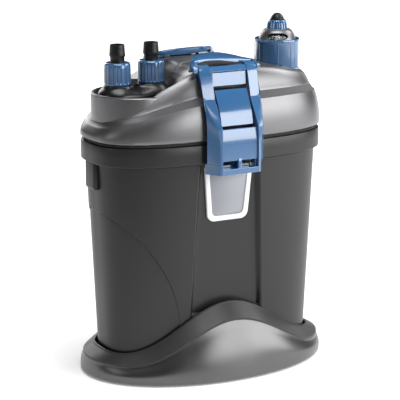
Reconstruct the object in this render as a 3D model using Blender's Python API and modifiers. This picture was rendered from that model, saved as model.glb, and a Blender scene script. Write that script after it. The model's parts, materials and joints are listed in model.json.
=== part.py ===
"""External canister filter with built-in heater: container on a wave-topped foot, lid with
swing clips and carrying loops, lift-out hose unit with prefilter, and lift-out heater.

Frame: metres, +Z up, origin on the ground under the middle of the foot. +X is the heater
end, -X the hose end, -Y the front.
"""
import math

import bmesh
import bpy
import numpy as np
from mathutils import Matrix, Vector

MM = 0.001
GAP = 0.3 * MM              # clearance between fixed neighbours
NAME = "canister_filter"

# ---- foot -------------------------------------------------------------------------------
FOOT_HALF_LENGTH = 146 * MM
FOOT_HALF_DEPTH = 98 * MM
FOOT_POWER = 2.06           # superellipse power of the foot's outline
FOOT_BOTTOM = 1.5 * MM
FOOT_TOP_LOW = 31 * MM      # top edge at the ends
FOOT_TOP_RISE = 52 * MM     # extra height in the middle of each long side
FOOT_BAND_LOW = 20.5 * MM   # lower line of the sloping band
FOOT_BAND_RISE = 45 * MM
FOOT_WAVE_HALF = 125 * MM   # distance from the middle to the wave's foot
FOOT_WALL = 3 * MM
FOOT_PLATE_TOP = 10 * MM
FOOT_PLATE_BOTTOM = 7 * MM
PAD_RADIUS = 9 * MM
PAD_PLACES = [(sx * 85 * MM, sy * 35 * MM) for sx in (-1, 1) for sy in (-1, 1)]

# ---- container --------------------------------------------------------------------------
BODY_POWER = 2.8
BODY_BOTTOM = FOOT_PLATE_TOP + GAP
BODY_FLOOR = 14 * MM
BODY_LOW_Z = 40 * MM
BODY_HIGH_Z = 235 * MM
BODY_LOW = (125.7 * MM, 59.0 * MM)     # half length and half depth at BODY_LOW_Z
BODY_HIGH = (134.2 * MM, 67.2 * MM)    # the same at BODY_HIGH_Z
BODY_WALL = 3 * MM
RIM_BOTTOM = 243.3 * MM
RIM_TOP = 265 * MM
RIM = (139.7 * MM, 71.5 * MM)
RIM_MOUTH = (131.2 * MM, 64.2 * MM)
PANEL_DEPTH = 6 * MM        # how far the middle panel is pressed in
PANEL_SLOPE = 3.5 * MM      # width of the panel's slanted side walls
PANEL_HALF_TOP = 37.5 * MM  # panel half width at z = 231 mm
PANEL_HALF_LOW = 44.5 * MM  # panel half width at z = 75 mm
PANEL_END = 72 * MM         # the panel closes below the foot's edge
LUG_HALF = 12 * MM
LUG_BOTTOM = 213 * MM
LUG_REACH = 139 * MM

# ---- badge ------------------------------------------------------------------------------
BADGE_TOP = 238 * MM
BADGE_BOTTOM = 175.5 * MM
BADGE_HALF_TOP = 30 * MM
BADGE_HALF_LOW = 25.5 * MM
BADGE_CORNER = 9 * MM
BADGE_BORDER = 5 * MM
BADGE_THICK = 2.6 * MM

# ---- lid --------------------------------------------------------------------------------
LID_BOTTOM = 268.3 * MM
LID_WALL = 3 * MM
LID_POWER = 2.8
STRIPE_LOW = 308 * MM       # lower edge of the step that runs round the lid
STRIPE_RISE = 9.5 * MM
CROWN = [(-140 * MM, 290 * MM), (-128 * MM, 293.5 * MM), (-102 * MM, 308 * MM),
         (-63 * MM, 330 * MM), (-30 * MM, 343 * MM), (10 * MM, 345.5 * MM),
         (60 * MM, 341.5 * MM), (100 * MM, 333.5 * MM), (140 * MM, 326.5 * MM)]
TUB_X = -83 * MM
TUB_RADIUS = 48.4 * MM
TUB_INNER = 44.6 * MM
TUB_RIM = 317.2 * MM
TUB_LEDGE = 301 * MM
TUB_UNDERSIDE = 288 * MM
TUB_HOLE = 39 * MM
HEATER_X = 97 * MM
COLLAR_RADIUS = 26 * MM
LUG_PIN = (55 * MM, 344 * MM)          # distance from the middle plane, height of the pins
LUG_RADIUS = 3.4 * MM
PIN_RADIUS = 1.5 * MM

# ---- head plate and pump ----------------------------------------------------------------
PLATE_BOTTOM = 250 * MM
PLATE_TOP = 254 * MM
PUMP_X = 20 * MM
MOTOR_RADIUS = 33 * MM
MOTOR_TOP = 318 * MM
ROTOR_WELL = 11.5 * MM
VOLUTE_RADIUS = 26 * MM
VOLUTE_BOTTOM = 229 * MM
SCREW_CIRCLE = 29.5 * MM

# ---- clips and handles ------------------------------------------------------------------
RAIL_OUTER = 35 * MM
RAIL_INNER = 22 * MM
EYE_RADIUS = 5.5 * MM
CLIP_BOTTOM = 233.3 * MM
# Rail sections from the pin down: height, back, front, half width of the front edge.
RAIL_SECTIONS = [(344.0, 53.0, 62.0, 35.0), (338.0, 58.0, 65.5, 35.0), (314.0, 70.5, 72.0, 34.5),
                 (296.0, 76.5, 83.5, 30.5), (284.0, 78.3, 90.5, 27.0), (265.0, 78.5, 91.2, 24.8),
                 (233.3, 78.5, 91.2, 24.6)]
# Carrying loops, in mm: place along X, inner edge (distance from the middle, height), outer
# edge (the same), thickness.
LOOPS = {
    "front": [
        (-43.5, 49.0, 352.0, 60.4, 348.6, 8.6), (-36.2, 46.0, 355.4, 60.4, 350.0, 9.8),
        (-35.8, 44.0, 356.0, 51.0, 353.6, 2.8), (-30.0, 41.0, 358.0, 49.6, 354.6, 3.0),
        (-22.0, 37.6, 359.2, 48.6, 354.8, 3.0), (-12.0, 35.0, 359.6, 48.0, 354.6, 3.0),
        (0.0, 34.0, 359.2, 47.8, 354.0, 3.0), (10.0, 35.0, 357.6, 47.8, 353.4, 3.0),
        (20.0, 38.5, 355.0, 48.2, 352.4, 3.0), (28.0, 42.5, 352.8, 48.6, 351.4, 2.8),
        (35.8, 46.5, 351.2, 49.4, 350.8, 2.6), (36.2, 48.0, 350.2, 60.4, 348.0, 9.0),
        (43.5, 49.5, 348.6, 60.4, 347.2, 8.2)],
    "rear": [
        (-43.5, 49.5, 347.6, 60.4, 347.0, 8.2), (-36.2, 48.0, 348.8, 60.4, 347.6, 9.0),
        (-35.8, 46.5, 350.4, 49.4, 350.2, 2.2), (-28.0, 42.0, 351.4, 48.8, 350.8, 2.4),
        (-20.0, 39.0, 352.6, 48.4, 351.6, 2.4), (-10.0, 36.6, 353.6, 48.0, 352.2, 2.4),
        (0.0, 35.6, 354.0, 48.0, 352.6, 2.4), (10.0, 35.6, 354.2, 48.0, 352.8, 2.4),
        (20.0, 37.0, 354.0, 48.4, 352.6, 2.4), (28.0, 40.0, 353.4, 48.8, 352.2, 2.4),
        (35.8, 44.0, 352.4, 50.4, 351.8, 2.4), (36.2, 46.0, 352.0, 60.4, 348.6, 9.2),
        (43.5, 48.5, 350.4, 60.4, 347.8, 8.6)],
}

# ---- hose unit --------------------------------------------------------------------------
NOZZLE_PLACES = {"inlet": -103.6 * MM, "outlet": -62.8 * MM}
HOSE_TOP = 370 * MM
NUT_BOTTOM = 326 * MM
NUT_TOP = 350.5 * MM
NUT_RADIUS = 14.8 * MM

# ---- heater -----------------------------------------------------------------------------
COLLAR_TOP = 358.5 * MM
COLLAR_BOTTOM = 312 * MM
DOME_RADIUS = 22.1 * MM
WINDOW_HEADING = math.radians(28)      # the window looks towards the front left
TOP = 392 * MM

SEGMENTS = 28               # sides of a turned piece
QUARTER = 9                 # outline points on each rounded quarter

SLOTS = {   # colour, roughness, metallic
    "dark_shell": ((0.060, 0.062, 0.067), 0.42, 0.0),
    "lid_grey": ((0.130, 0.130, 0.140), 0.38, 0.0),
    "blue_plastic": ((0.030, 0.120, 0.360), 0.30, 0.0),
    "black_plastic": ((0.010, 0.010, 0.012), 0.22, 0.0),
    "rubber": ((0.012, 0.012, 0.012), 0.80, 0.0),
    "badge_white": ((0.780, 0.790, 0.800), 0.35, 0.0),
    "badge_grey": ((0.560, 0.590, 0.610), 0.30, 0.0),
    "steel": ((0.600, 0.600, 0.590), 0.25, 1.0),
    "glass": ((0.800, 0.850, 0.880), 0.05, 0.0),
    "drum_black": ((0.015, 0.015, 0.018), 0.45, 0.0),
    "inner_grey": ((0.250, 0.260, 0.270), 0.50, 0.0),
    "foam_blue": ((0.050, 0.200, 0.420), 0.95, 0.0),
    "foam_black": ((0.020, 0.020, 0.022), 0.95, 0.0),
    "ceramic": ((0.780, 0.740, 0.660), 0.70, 0.0),
    "magnet": ((0.050, 0.050, 0.055), 0.50, 0.6),
}


# ---- scene helpers ----------------------------------------------------------------------
def clear_scene():
    for old in list(bpy.data.objects):
        bpy.data.objects.remove(old, do_unlink=True)


def new_collection(name):
    collection = bpy.data.collections.new(name)
    bpy.context.scene.collection.children.link(collection)
    return collection


def slot_material(slot):
    if slot in bpy.data.materials:
        return bpy.data.materials[slot]
    colour, roughness, metallic = SLOTS[slot]
    material = bpy.data.materials.new(slot)
    material.use_nodes = True
    shader = material.node_tree.nodes["Principled BSDF"]
    shader.inputs["Base Color"].default_value = (*colour, 1.0)
    shader.inputs["Roughness"].default_value = roughness
    shader.inputs["Metallic"].default_value = metallic
    material.diffuse_color = (*colour, 1.0)
    return material


clear_scene()
PARTS = new_collection(NAME)
CUTTERS = new_collection("cutters")


def add_object(name, mesh, slot, at=(0.0, 0.0, 0.0)):
    """A part when it has a material slot, otherwise a hidden tool for Booleans."""
    item = bpy.data.objects.new(name, mesh)
    item.location = at
    if slot:
        mesh.materials.append(slot_material(slot))
        PARTS.objects.link(item)
    else:
        CUTTERS.objects.link(item)
        item.hide_render = True
        item.display_type = "WIRE"
    return item


def bmesh_object(name, bm, slot, at=(0.0, 0.0, 0.0)):
    bmesh.ops.recalc_face_normals(bm, faces=bm.faces)
    mesh = bpy.data.meshes.new(name)
    bm.to_mesh(mesh)
    bm.free()
    return add_object(name, mesh, slot, at)


def loft(name, rings, slot, closed=False):
    """A closed solid through rings of equal point counts, capped or joined end to end."""
    bm = bmesh.new()
    loops = [[bm.verts.new(point) for point in ring] for ring in rings]
    count = len(loops[0])
    pairs = list(zip(loops, loops[1:]))
    if closed:
        pairs.append((loops[-1], loops[0]))
    for low, high in pairs:
        for i in range(count):
            j = (i + 1) % count
            bm.faces.new((low[i], low[j], high[j], high[i]))
    if not closed:
        bm.faces.new(loops[0])
        bm.faces.new(loops[-1])
    bmesh.ops.triangulate(bm, faces=bm.faces)
    return bmesh_object(name, bm, slot)


def turned(name, profile, slot, at=(0.0, 0.0, 0.0), ring=False, steps=SEGMENTS):
    """A profile of (radius, height) turned about Z. It runs down its outer side."""
    edges = [(i, i + 1) for i in range(len(profile) - 1)]
    if ring:
        edges.append((len(profile) - 1, 0))
    mesh = bpy.data.meshes.new(name)
    mesh.from_pydata([(radius, 0.0, height) for radius, height in profile], edges, [])
    item = add_object(name, mesh, slot, at)
    screw = item.modifiers.new("turn", "SCREW")
    screw.steps = screw.render_steps = steps
    screw.use_merge_vertices = True
    screw.merge_threshold = 0.00001
    return item


def disc(name, radius, low, high, slot, at=(0.0, 0.0), steps=SEGMENTS):
    profile = [(0.0, high), (radius, high), (radius, low), (0.0, low)]
    return turned(name, profile, slot, (*at, 0.0), steps=steps)


def tube(name, outer, inner, low, high, slot, at=(0.0, 0.0), steps=SEGMENTS):
    profile = [(inner, high), (outer, high), (outer, low), (inner, low)]
    return turned(name, profile, slot, (*at, 0.0), ring=True, steps=steps)


def torus(name, major, minor, z, slot, at=(0.0, 0.0)):
    angles = [math.radians(90 - 60 * i) for i in range(6)]
    profile = [(major + minor * math.cos(a), z + minor * math.sin(a)) for a in angles]
    return turned(name, profile, slot, (*at, 0.0), ring=True)


def box(name, low, high, slot):
    bm = bmesh.new()
    bmesh.ops.create_cube(bm, size=1.0)
    size = Vector(high) - Vector(low)
    middle = (Vector(high) + Vector(low)) / 2
    bmesh.ops.transform(bm, matrix=Matrix.Translation(middle) @ Matrix.Diagonal((*size, 1.0)),
                        verts=bm.verts)
    return bmesh_object(name, bm, slot)


def rod_x(name, radius, low, high, y, z, slot, sides=16):
    """A round bar along X."""
    bm = bmesh.new()
    bmesh.ops.create_cone(bm, cap_ends=True, segments=sides, radius1=radius, radius2=radius,
                          depth=high - low)
    turn = Matrix.Translation(((low + high) / 2, y, z)) @ Matrix.Rotation(math.pi / 2, 4, "Y")
    bmesh.ops.transform(bm, matrix=turn, verts=bm.verts)
    return bmesh_object(name, bm, slot)


def rod_y(name, radius, low, high, x, z, slot, sides=20):
    """A round bar along Y."""
    bm = bmesh.new()
    bmesh.ops.create_cone(bm, cap_ends=True, segments=sides, radius1=radius, radius2=radius,
                          depth=high - low)
    turn = Matrix.Translation((x, (low + high) / 2, z)) @ Matrix.Rotation(math.pi / 2, 4, "X")
    bmesh.ops.transform(bm, matrix=turn, verts=bm.verts)
    return bmesh_object(name, bm, slot)


def boolean(item, other, operation):
    step = item.modifiers.new(operation.lower(), "BOOLEAN")
    step.operation = operation
    step.solver = "EXACT"
    step.object = other


def cut(item, *tools):
    for tool in tools:
        boolean(item, tool, "DIFFERENCE")


def fuse(item, *tools):
    for tool in tools:
        boolean(item, tool, "UNION")


def smooth_line(points):
    """A smooth curve through a few (x, z) points, as a function of x."""
    xs, zs = np.array(points).T
    slopes = np.gradient(zs, xs)

    def height(x):
        x = min(max(x, xs[0]), xs[-1])
        i = min(int(np.searchsorted(xs, x, side="right")) - 1, len(xs) - 2)
        span = xs[i + 1] - xs[i]
        t = (x - xs[i]) / span
        near, far = 1 - 3 * t * t + 2 * t ** 3, 3 * t * t - 2 * t ** 3
        lean = span * (t * (1 - t) ** 2 * slopes[i] - t * t * (1 - t) * slopes[i + 1])
        return float(near * zs[i] + far * zs[i + 1] + lean)
    return height


# ---- outlines ---------------------------------------------------------------------------
def side_y(x, half, power):
    """Distance from the middle plane of a superellipse with half sizes `half` at x."""
    return half[1] * max(0.0, 1 - (abs(x) / half[0]) ** power) ** (1 / power)


def outline(half, power, panel_edge, depth=0.0):
    """Points round a superellipse, with the same count and places on every ring.

    The points at +-panel_edge and PANEL_SLOPE inside it bound the middle panel, which lies
    `depth` inside the curve.
    """
    last = math.acos((panel_edge / half[0]) ** (power / 2))
    quarter = []
    for i in range(QUARTER):
        angle = last * i / (QUARTER - 1)
        x = half[0] * math.cos(angle) ** (2 / power)
        quarter.append((x, side_y(x, half, power) if i else 0.0))
    inner = panel_edge - PANEL_SLOPE
    for x in (inner, inner / 2):
        y = half[1] - depth if depth else side_y(x, half, power)
        quarter.append((x, y))
    middle = [(0.0, half[1] - depth)]
    right_rear = quarter
    left_rear = [(-x, y) for x, y in reversed(quarter)]
    left_front = [(-x, -y) for x, y in quarter[1:]]
    right_front = [(x, -y) for x, y in reversed(quarter[1:])]
    front_middle = [(0.0, -half[1] + depth)]
    return right_rear + middle + left_rear + left_front + front_middle + right_front


def blend(low, high, t):
    return low + (high - low) * t


def body_half(z):
    t = (z - BODY_LOW_Z) / (BODY_HIGH_Z - BODY_LOW_Z)
    return tuple(blend(a, b, t) for a, b in zip(BODY_LOW, BODY_HIGH))


def panel_half(z):
    return blend(PANEL_HALF_LOW, PANEL_HALF_TOP, (z - 75 * MM) / (156 * MM))


def grown(half, amount):
    return half[0] + amount, half[1] + amount


def body_ring(z, half, depth=0.0):
    return [(x, y, z) for x, y in outline(half, BODY_POWER, panel_half(z), depth)]


# ---- foot -------------------------------------------------------------------------------
def wave(x):
    t = min(abs(x) / FOOT_WAVE_HALF, 1.0)
    return 0.5 * (1 + math.cos(math.pi * t))


def foot_ring(half, power, height, rise=0.0):
    """A ring whose height follows the wave by `rise`."""
    return [(x, y, height + rise * wave(x))
            for x, y in outline(half, power, PANEL_HALF_LOW)]


def make_foot():
    outer = (FOOT_HALF_LENGTH, FOOT_HALF_DEPTH)
    low = body_half(BODY_LOW_Z)
    pocket = grown(low, 0.7 * MM)
    band = (143.5 * MM, 92.0 * MM)
    band_inside = grown(band, -FOOT_WALL)
    rings = [
        foot_ring(pocket, BODY_POWER, FOOT_PLATE_BOTTOM),
        foot_ring(grown(pocket, FOOT_WALL), BODY_POWER, FOOT_PLATE_BOTTOM),
        foot_ring(grown(pocket, FOOT_WALL), BODY_POWER, FOOT_TOP_LOW - 8 * MM, FOOT_TOP_RISE),
        band_ring(band_inside, -3.5 * MM),
        foot_ring(grown(outer, -FOOT_WALL), FOOT_POWER, FOOT_BOTTOM),
        foot_ring(grown(outer, -0.8 * MM), FOOT_POWER, FOOT_BOTTOM),
        foot_ring(outer, FOOT_POWER, FOOT_BOTTOM + 2.5 * MM),
        band_ring(band, 0.0),
        top_ring(pocket, 3.2 * MM, -1.2 * MM),
        top_ring(pocket, 2.0 * MM, 0.0),
        top_ring(pocket, 0.5 * MM, -0.6 * MM),
        foot_ring(pocket, BODY_POWER, FOOT_PLATE_TOP),
    ]
    loft("foot_plinth", rings, "dark_shell")
    for i, place in enumerate(PAD_PLACES, start=1):
        disc(f"foot_pad_{i}", PAD_RADIUS, 0.0, FOOT_PLATE_BOTTOM - GAP, "rubber", place, 20)


def band_ring(half, shift):
    """The lower line of the sloping band: it draws in where it climbs."""
    ring = []
    for x, y in outline(half, FOOT_POWER, PANEL_HALF_LOW):
        climb = wave(x)
        ring.append((x, y * (1 - 0.125 * climb), FOOT_BAND_LOW + shift + FOOT_BAND_RISE * climb))
    return ring


def top_ring(pocket, spread, shift):
    """The top edge, which stays close to the container as that widens upwards."""
    ring = []
    for x, y in outline(grown(pocket, spread), BODY_POWER, PANEL_HALF_LOW):
        z = FOOT_TOP_LOW + shift + FOOT_TOP_RISE * wave(x)
        ring.append((x, y * (1 + 0.03 * wave(x)), z))
    return ring


# ---- container --------------------------------------------------------------------------
def make_container():
    def wall(z, inset, depth):
        return body_ring(z, grown(body_half(z), -inset), depth)

    panel_top = RIM_BOTTOM - 0.5 * MM
    closed = PANEL_END - PANEL_DEPTH
    outer = [
        body_ring(BODY_BOTTOM, grown(body_half(BODY_BOTTOM), -2.5 * MM)),
        body_ring(BODY_BOTTOM + 2.5 * MM, body_half(BODY_BOTTOM)),
        wall(closed, 0.0, 0.0),
        wall(PANEL_END, 0.0, PANEL_DEPTH),
        wall(130 * MM, 0.0, PANEL_DEPTH),
        wall(190 * MM, 0.0, PANEL_DEPTH),
        wall(panel_top, 0.0, PANEL_DEPTH),
        body_ring(RIM_BOTTOM, grown(RIM, -0.6 * MM)),
        body_ring(RIM_BOTTOM + 0.8 * MM, RIM),
        body_ring(RIM_TOP - 0.8 * MM, RIM),
        body_ring(RIM_TOP, grown(RIM, -0.6 * MM)),
    ]
    inner = [
        body_ring(RIM_TOP, RIM_MOUTH),
        body_ring(RIM_BOTTOM + 4 * MM, RIM_MOUTH),
        wall(panel_top - 3 * MM, BODY_WALL, PANEL_DEPTH),
        wall(130 * MM, BODY_WALL, PANEL_DEPTH),
        wall(PANEL_END, BODY_WALL, PANEL_DEPTH),
        wall(BODY_FLOOR, BODY_WALL + 0.5 * MM, PANEL_DEPTH),
    ]
    container = loft("container", outer + inner, "dark_shell")
    for side in (-1, 1):
        ends = sorted((side * 133.4 * MM, side * LUG_REACH))
        lug = box(f"end_lug_{side}", (ends[0], -LUG_HALF, LUG_BOTTOM),
                  (ends[1], LUG_HALF, RIM_BOTTOM + 1 * MM), None)
        fuse(container, lug)


def badge_outline(inset):
    """A shield: slightly narrower at the foot, with sloping lower corners."""
    top = BADGE_TOP - inset
    low = BADGE_BOTTOM + inset
    half_top = BADGE_HALF_TOP - inset
    half_low = BADGE_HALF_LOW - inset
    corner = BADGE_CORNER - 0.4 * inset
    right = [(half_low - corner, low), (half_low - 0.3 * corner, low + 0.35 * corner),
             (half_low, low + 1.15 * corner), (half_top, top)]
    return [(x, z) for x, z in right] + [(-x, z) for x, z in reversed(right)]


def flat_plate(name, outlines, thick, slot):
    """A flat outline standing up, with any further outlines as openings in it."""
    curve = bpy.data.curves.new(name, "CURVE")
    curve.dimensions = "2D"
    curve.fill_mode = "BOTH"
    curve.extrude = thick / 2
    for points in outlines:
        spline = curve.splines.new("POLY")
        spline.points.add(len(points) - 1)
        for point, (x, z) in zip(spline.points, points):
            point.co = (x, z, 0.0, 1.0)
        spline.use_cyclic_u = True
    return add_object(name, curve, slot)


def make_badge():
    high, low = body_half(BODY_HIGH_Z), body_half(BODY_LOW_Z)
    lean = math.atan((high[1] - low[1]) / (BODY_HIGH_Z - BODY_LOW_Z))
    middle = (BADGE_TOP + BADGE_BOTTOM) / 2
    face = body_half(middle)[1] - PANEL_DEPTH
    stand = face + GAP + BADGE_THICK / 2
    place = Matrix.Translation((0.0, -stand, middle)) @ Matrix.Rotation(lean + math.pi / 2, 4, "X")
    place = place @ Matrix.Translation((0.0, -middle, 0.0))
    border = badge_outline(0.0)
    field = badge_outline(BADGE_BORDER)
    frame = flat_plate("badge_frame", [border, field], BADGE_THICK, "badge_white")
    plate = flat_plate("badge_plate", [badge_outline(BADGE_BORDER + GAP)], BADGE_THICK - 1 * MM,
                       "badge_grey")
    for item in (frame, plate):
        item.matrix_world = place


# ---- lid --------------------------------------------------------------------------------
crown = smooth_line(CROWN)


def droop(x):
    """How far the lid's step line has sunk towards the hose end."""
    return 20 * MM * (max(0.0, -20 * MM - x) / (115 * MM)) ** 1.6


def stripe_low(x):
    return STRIPE_LOW - droop(x)


def stripe_high(x):
    fade = min(1.0, max(0.0, (-35 * MM - x) / (65 * MM)))
    return stripe_low(x) + blend(STRIPE_RISE, 1 * MM, fade)


def lid_ring(half, level, inset=0.0):
    """One ring of the dome. Level 0 is the seam, 1 the step's lower edge, 2 its upper edge
    and 3 the crown line."""
    ring = []
    for x, y in outline(grown(half, -inset), LID_POWER, PANEL_HALF_LOW):
        low, high = stripe_low(x), stripe_high(x)
        top = max(crown(x), high + 0.5 * MM)
        if level <= 1:
            z = blend(LID_BOTTOM, low, level)
        elif level <= 2:
            z = blend(low, high, level - 1)
        else:
            z = blend(high, top, level - 2)
        ring.append((x, y, z - inset if level else z))
    return ring


LID_RINGS = [((139.4, 71.2), 0.0), ((140.2, 72.0), 0.08), ((140.0, 71.8), 0.35),
             ((138.3, 70.3), 0.66), ((135.0, 67.0), 1.0), ((128.4, 60.8), 2.0),
             ((126.0, 57.2), 2.42), ((121.5, 51.5), 2.80), ((108.0, 41.0), 2.97),
             ((70.0, 22.0), 3.0)]


def make_lid():
    halves = [((a * MM, b * MM), level) for (a, b), level in LID_RINGS]
    outer = [lid_ring(half, level) for half, level in halves]
    inner = [lid_ring(half, level, LID_WALL) for half, level in halves]
    lid = loft("lid_shell", outer, "lid_grey")
    at = (TUB_X, 0.0)
    fuse(lid, disc("tub_block", TUB_RADIUS, TUB_UNDERSIDE, TUB_RIM, None, at, 40))
    cut(lid, disc("tub_pocket", TUB_INNER, TUB_LEDGE, 400 * MM, None, at, 40))
    hollow = loft("lid_hollow", [[(x, y, LID_BOTTOM - 5 * MM) for x, y, _ in inner[0]]] + inner[1:],
                  None)
    cut(hollow, disc("tub_room", TUB_RADIUS, TUB_UNDERSIDE, 400 * MM, None, at, 40))
    cut(lid, hollow, disc("tub_floor_hole", TUB_HOLE, 200 * MM, 320 * MM, None, at, 40),
        disc("collar_hole", COLLAR_RADIUS + GAP, 290 * MM, 400 * MM, None, (HEATER_X, 0.0)))
    for side in (-1, 1):
        for hand in (-1, 1):
            fuse(lid, pin_lug(side, hand))
        y, z = side * LUG_PIN[0], LUG_PIN[1]
        cut(lid, rod_x(f"pin_bore_{side}", PIN_RADIUS + GAP, -30 * MM, 30 * MM, y, z, None))
    gland = rod_y("gland_bore", 4.3 * MM, 50 * MM, 90 * MM, 60 * MM, 284 * MM, None)
    cut(lid, gland)


def pin_lug(side, hand):
    """A small upright ear on the lid's shoulder that holds a clip pin."""
    reach, height = LUG_PIN
    arc = [math.radians(180 - 22.5 * i) for i in range(9)]
    section = [(reach - LUG_RADIUS, 326 * MM)]
    section += [(reach + LUG_RADIUS * math.cos(a), height + LUG_RADIUS * math.sin(a)) for a in arc]
    section.append((reach + LUG_RADIUS, 326 * MM))
    rings = [[(hand * x, side * y, z) for y, z in section] for x in (13.5 * MM, 20.5 * MM)]
    return loft(f"pin_lug_{side}_{hand}", rings, None)


def make_lid_fittings():
    seal = [body_ring(z, half) for half, z in (
        ((133.0 * MM, 65.8 * MM), RIM_TOP + GAP), ((137.6 * MM, 69.4 * MM), RIM_TOP + GAP),
        ((137.6 * MM, 69.4 * MM), 267.4 * MM), ((133.0 * MM, 65.8 * MM), 267.4 * MM))]
    loft("lid_seal", seal, "rubber", closed=True)
    gland = rod_y("pump_cable_gland", 4.0 * MM, 62 * MM, 80 * MM, 60 * MM, 284 * MM,
                  "black_plastic")
    cut(gland, rod_y("gland_core", 2.2 * MM, 55 * MM, 90 * MM, 60 * MM, 284 * MM, None, 12))
    for side, word in ((-1, "front"), (1, "rear")):
        rod_x(f"{word}_hinge_pin", PIN_RADIUS, -44.5 * MM, 44.5 * MM, side * LUG_PIN[0],
              LUG_PIN[1], "steel", 12)


def make_head_plate():
    spigot, flange = (130.4 * MM, 63.4 * MM), (136.2 * MM, 68.0 * MM)
    inside = grown(spigot, -2 * MM)
    rings = [body_ring(z, half) for half, z in (
        (spigot, PLATE_BOTTOM), (spigot, 267.7 * MM), (flange, 267.7 * MM),
        (flange, 270 * MM), (inside, 270 * MM), (inside, PLATE_TOP))]
    plate = loft("head_plate", rings, "inner_grey")
    cut(plate, disc("rotor_hole", 12 * MM, 240 * MM, 262 * MM, None, (PUMP_X, 0.0), 24),
        disc("heater_hole", 22 * MM, 240 * MM, 262 * MM, None, (HEATER_X, 0.0), 24),
        disc("prefilter_hole", TUB_HOLE, 240 * MM, 262 * MM, None, (TUB_X, 0.0)))
    cut(plate, *screw_holes("plate"))


# ---- pump -------------------------------------------------------------------------------
def screw_places():
    for i in range(3):
        angle = math.radians(120 * i + 90)
        yield (PUMP_X + SCREW_CIRCLE * math.cos(angle), SCREW_CIRCLE * math.sin(angle))


def screw_holes(word):
    return [disc(f"{word}_screw_hole_{i}", 1.6 * MM, 225 * MM, 262 * MM, None, place, 8)
            for i, place in enumerate(screw_places())]


def make_pump():
    at = (PUMP_X, 0.0)
    well_top = 305 * MM
    base = PLATE_TOP + GAP
    profile = [(0.0, MOTOR_TOP), (MOTOR_RADIUS - 3 * MM, MOTOR_TOP),
               (MOTOR_RADIUS, MOTOR_TOP - 3 * MM), (MOTOR_RADIUS, base), (ROTOR_WELL, base),
               (ROTOR_WELL, well_top), (0.0, well_top)]
    motor = turned("motor_housing", profile, "black_plastic", (*at, 0.0))
    cut(motor, *screw_holes("motor"))
    make_volute(at)
    make_rotor(at, well_top)


def make_volute(at):
    top = PLATE_BOTTOM - GAP
    inside = VOLUTE_RADIUS - 2.5 * MM
    brim = VOLUTE_RADIUS + 7 * MM
    floor = VOLUTE_BOTTOM + 2.5 * MM
    profile = [(0.0, floor), (inside, floor), (inside, top), (brim, top), (brim, top - 2.5 * MM),
               (VOLUTE_RADIUS, top - 2.5 * MM), (VOLUTE_RADIUS, VOLUTE_BOTTOM),
               (0.0, VOLUTE_BOTTOM)]
    volute = turned("volute_cover", profile, "inner_grey", (*at, 0.0))
    cut(volute, *screw_holes("volute"))
    for i in range(4):
        angle = math.radians(90 * i)
        place = (PUMP_X + 9 * MM * math.cos(angle), 9 * MM * math.sin(angle))
        cut(volute, disc(f"volute_inlet_{i}", 3.5 * MM, 220 * MM, 240 * MM, None, place, 10))
    head = top - 2.5 * MM - GAP
    for i, place in enumerate(screw_places(), start=1):
        profile = [(0.0, 259 * MM), (1.3 * MM, 259 * MM), (1.3 * MM, head), (2.8 * MM, head),
                   (2.8 * MM, head - 2 * MM), (0.0, head - 2 * MM)]
        turned(f"volute_screw_{i}", profile, "steel", (*place, 0.0), steps=10)


def make_rotor(at, well_top):
    bore = PIN_RADIUS + GAP
    hub_low, hub_high = 236 * MM, 250.5 * MM
    impeller = tube("impeller", 9 * MM, bore, hub_low, hub_high, "inner_grey", at, 24)
    for i in range(5):
        blade = box(f"blade_{i}", (PUMP_X + 6 * MM, -0.9 * MM, hub_low + 0.5 * MM),
                    (PUMP_X + 21 * MM, 0.9 * MM, 247 * MM), None)
        pivot = Matrix.Translation((PUMP_X, 0.0, 0.0))
        turn = Matrix.Rotation(math.radians(72 * i), 4, "Z")
        blade.data.transform(pivot @ turn @ pivot.inverted())
        fuse(impeller, blade)
    tube("rotor_magnet", 9.5 * MM, bore, hub_high + GAP, 298 * MM, "magnet", at, 24)
    disc("rotor_shaft", PIN_RADIUS, 233.5 * MM, 303.5 * MM, "steel", at, 12)
    bush_foot = VOLUTE_BOTTOM + 2.5 * MM + GAP
    tube("shaft_bush_lower", 4 * MM, PIN_RADIUS + GAP, bush_foot, hub_low - GAP, "rubber", at, 16)
    tube("shaft_bush_upper", 6 * MM, PIN_RADIUS + GAP, 299 * MM, well_top - GAP, "rubber", at, 16)


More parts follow.
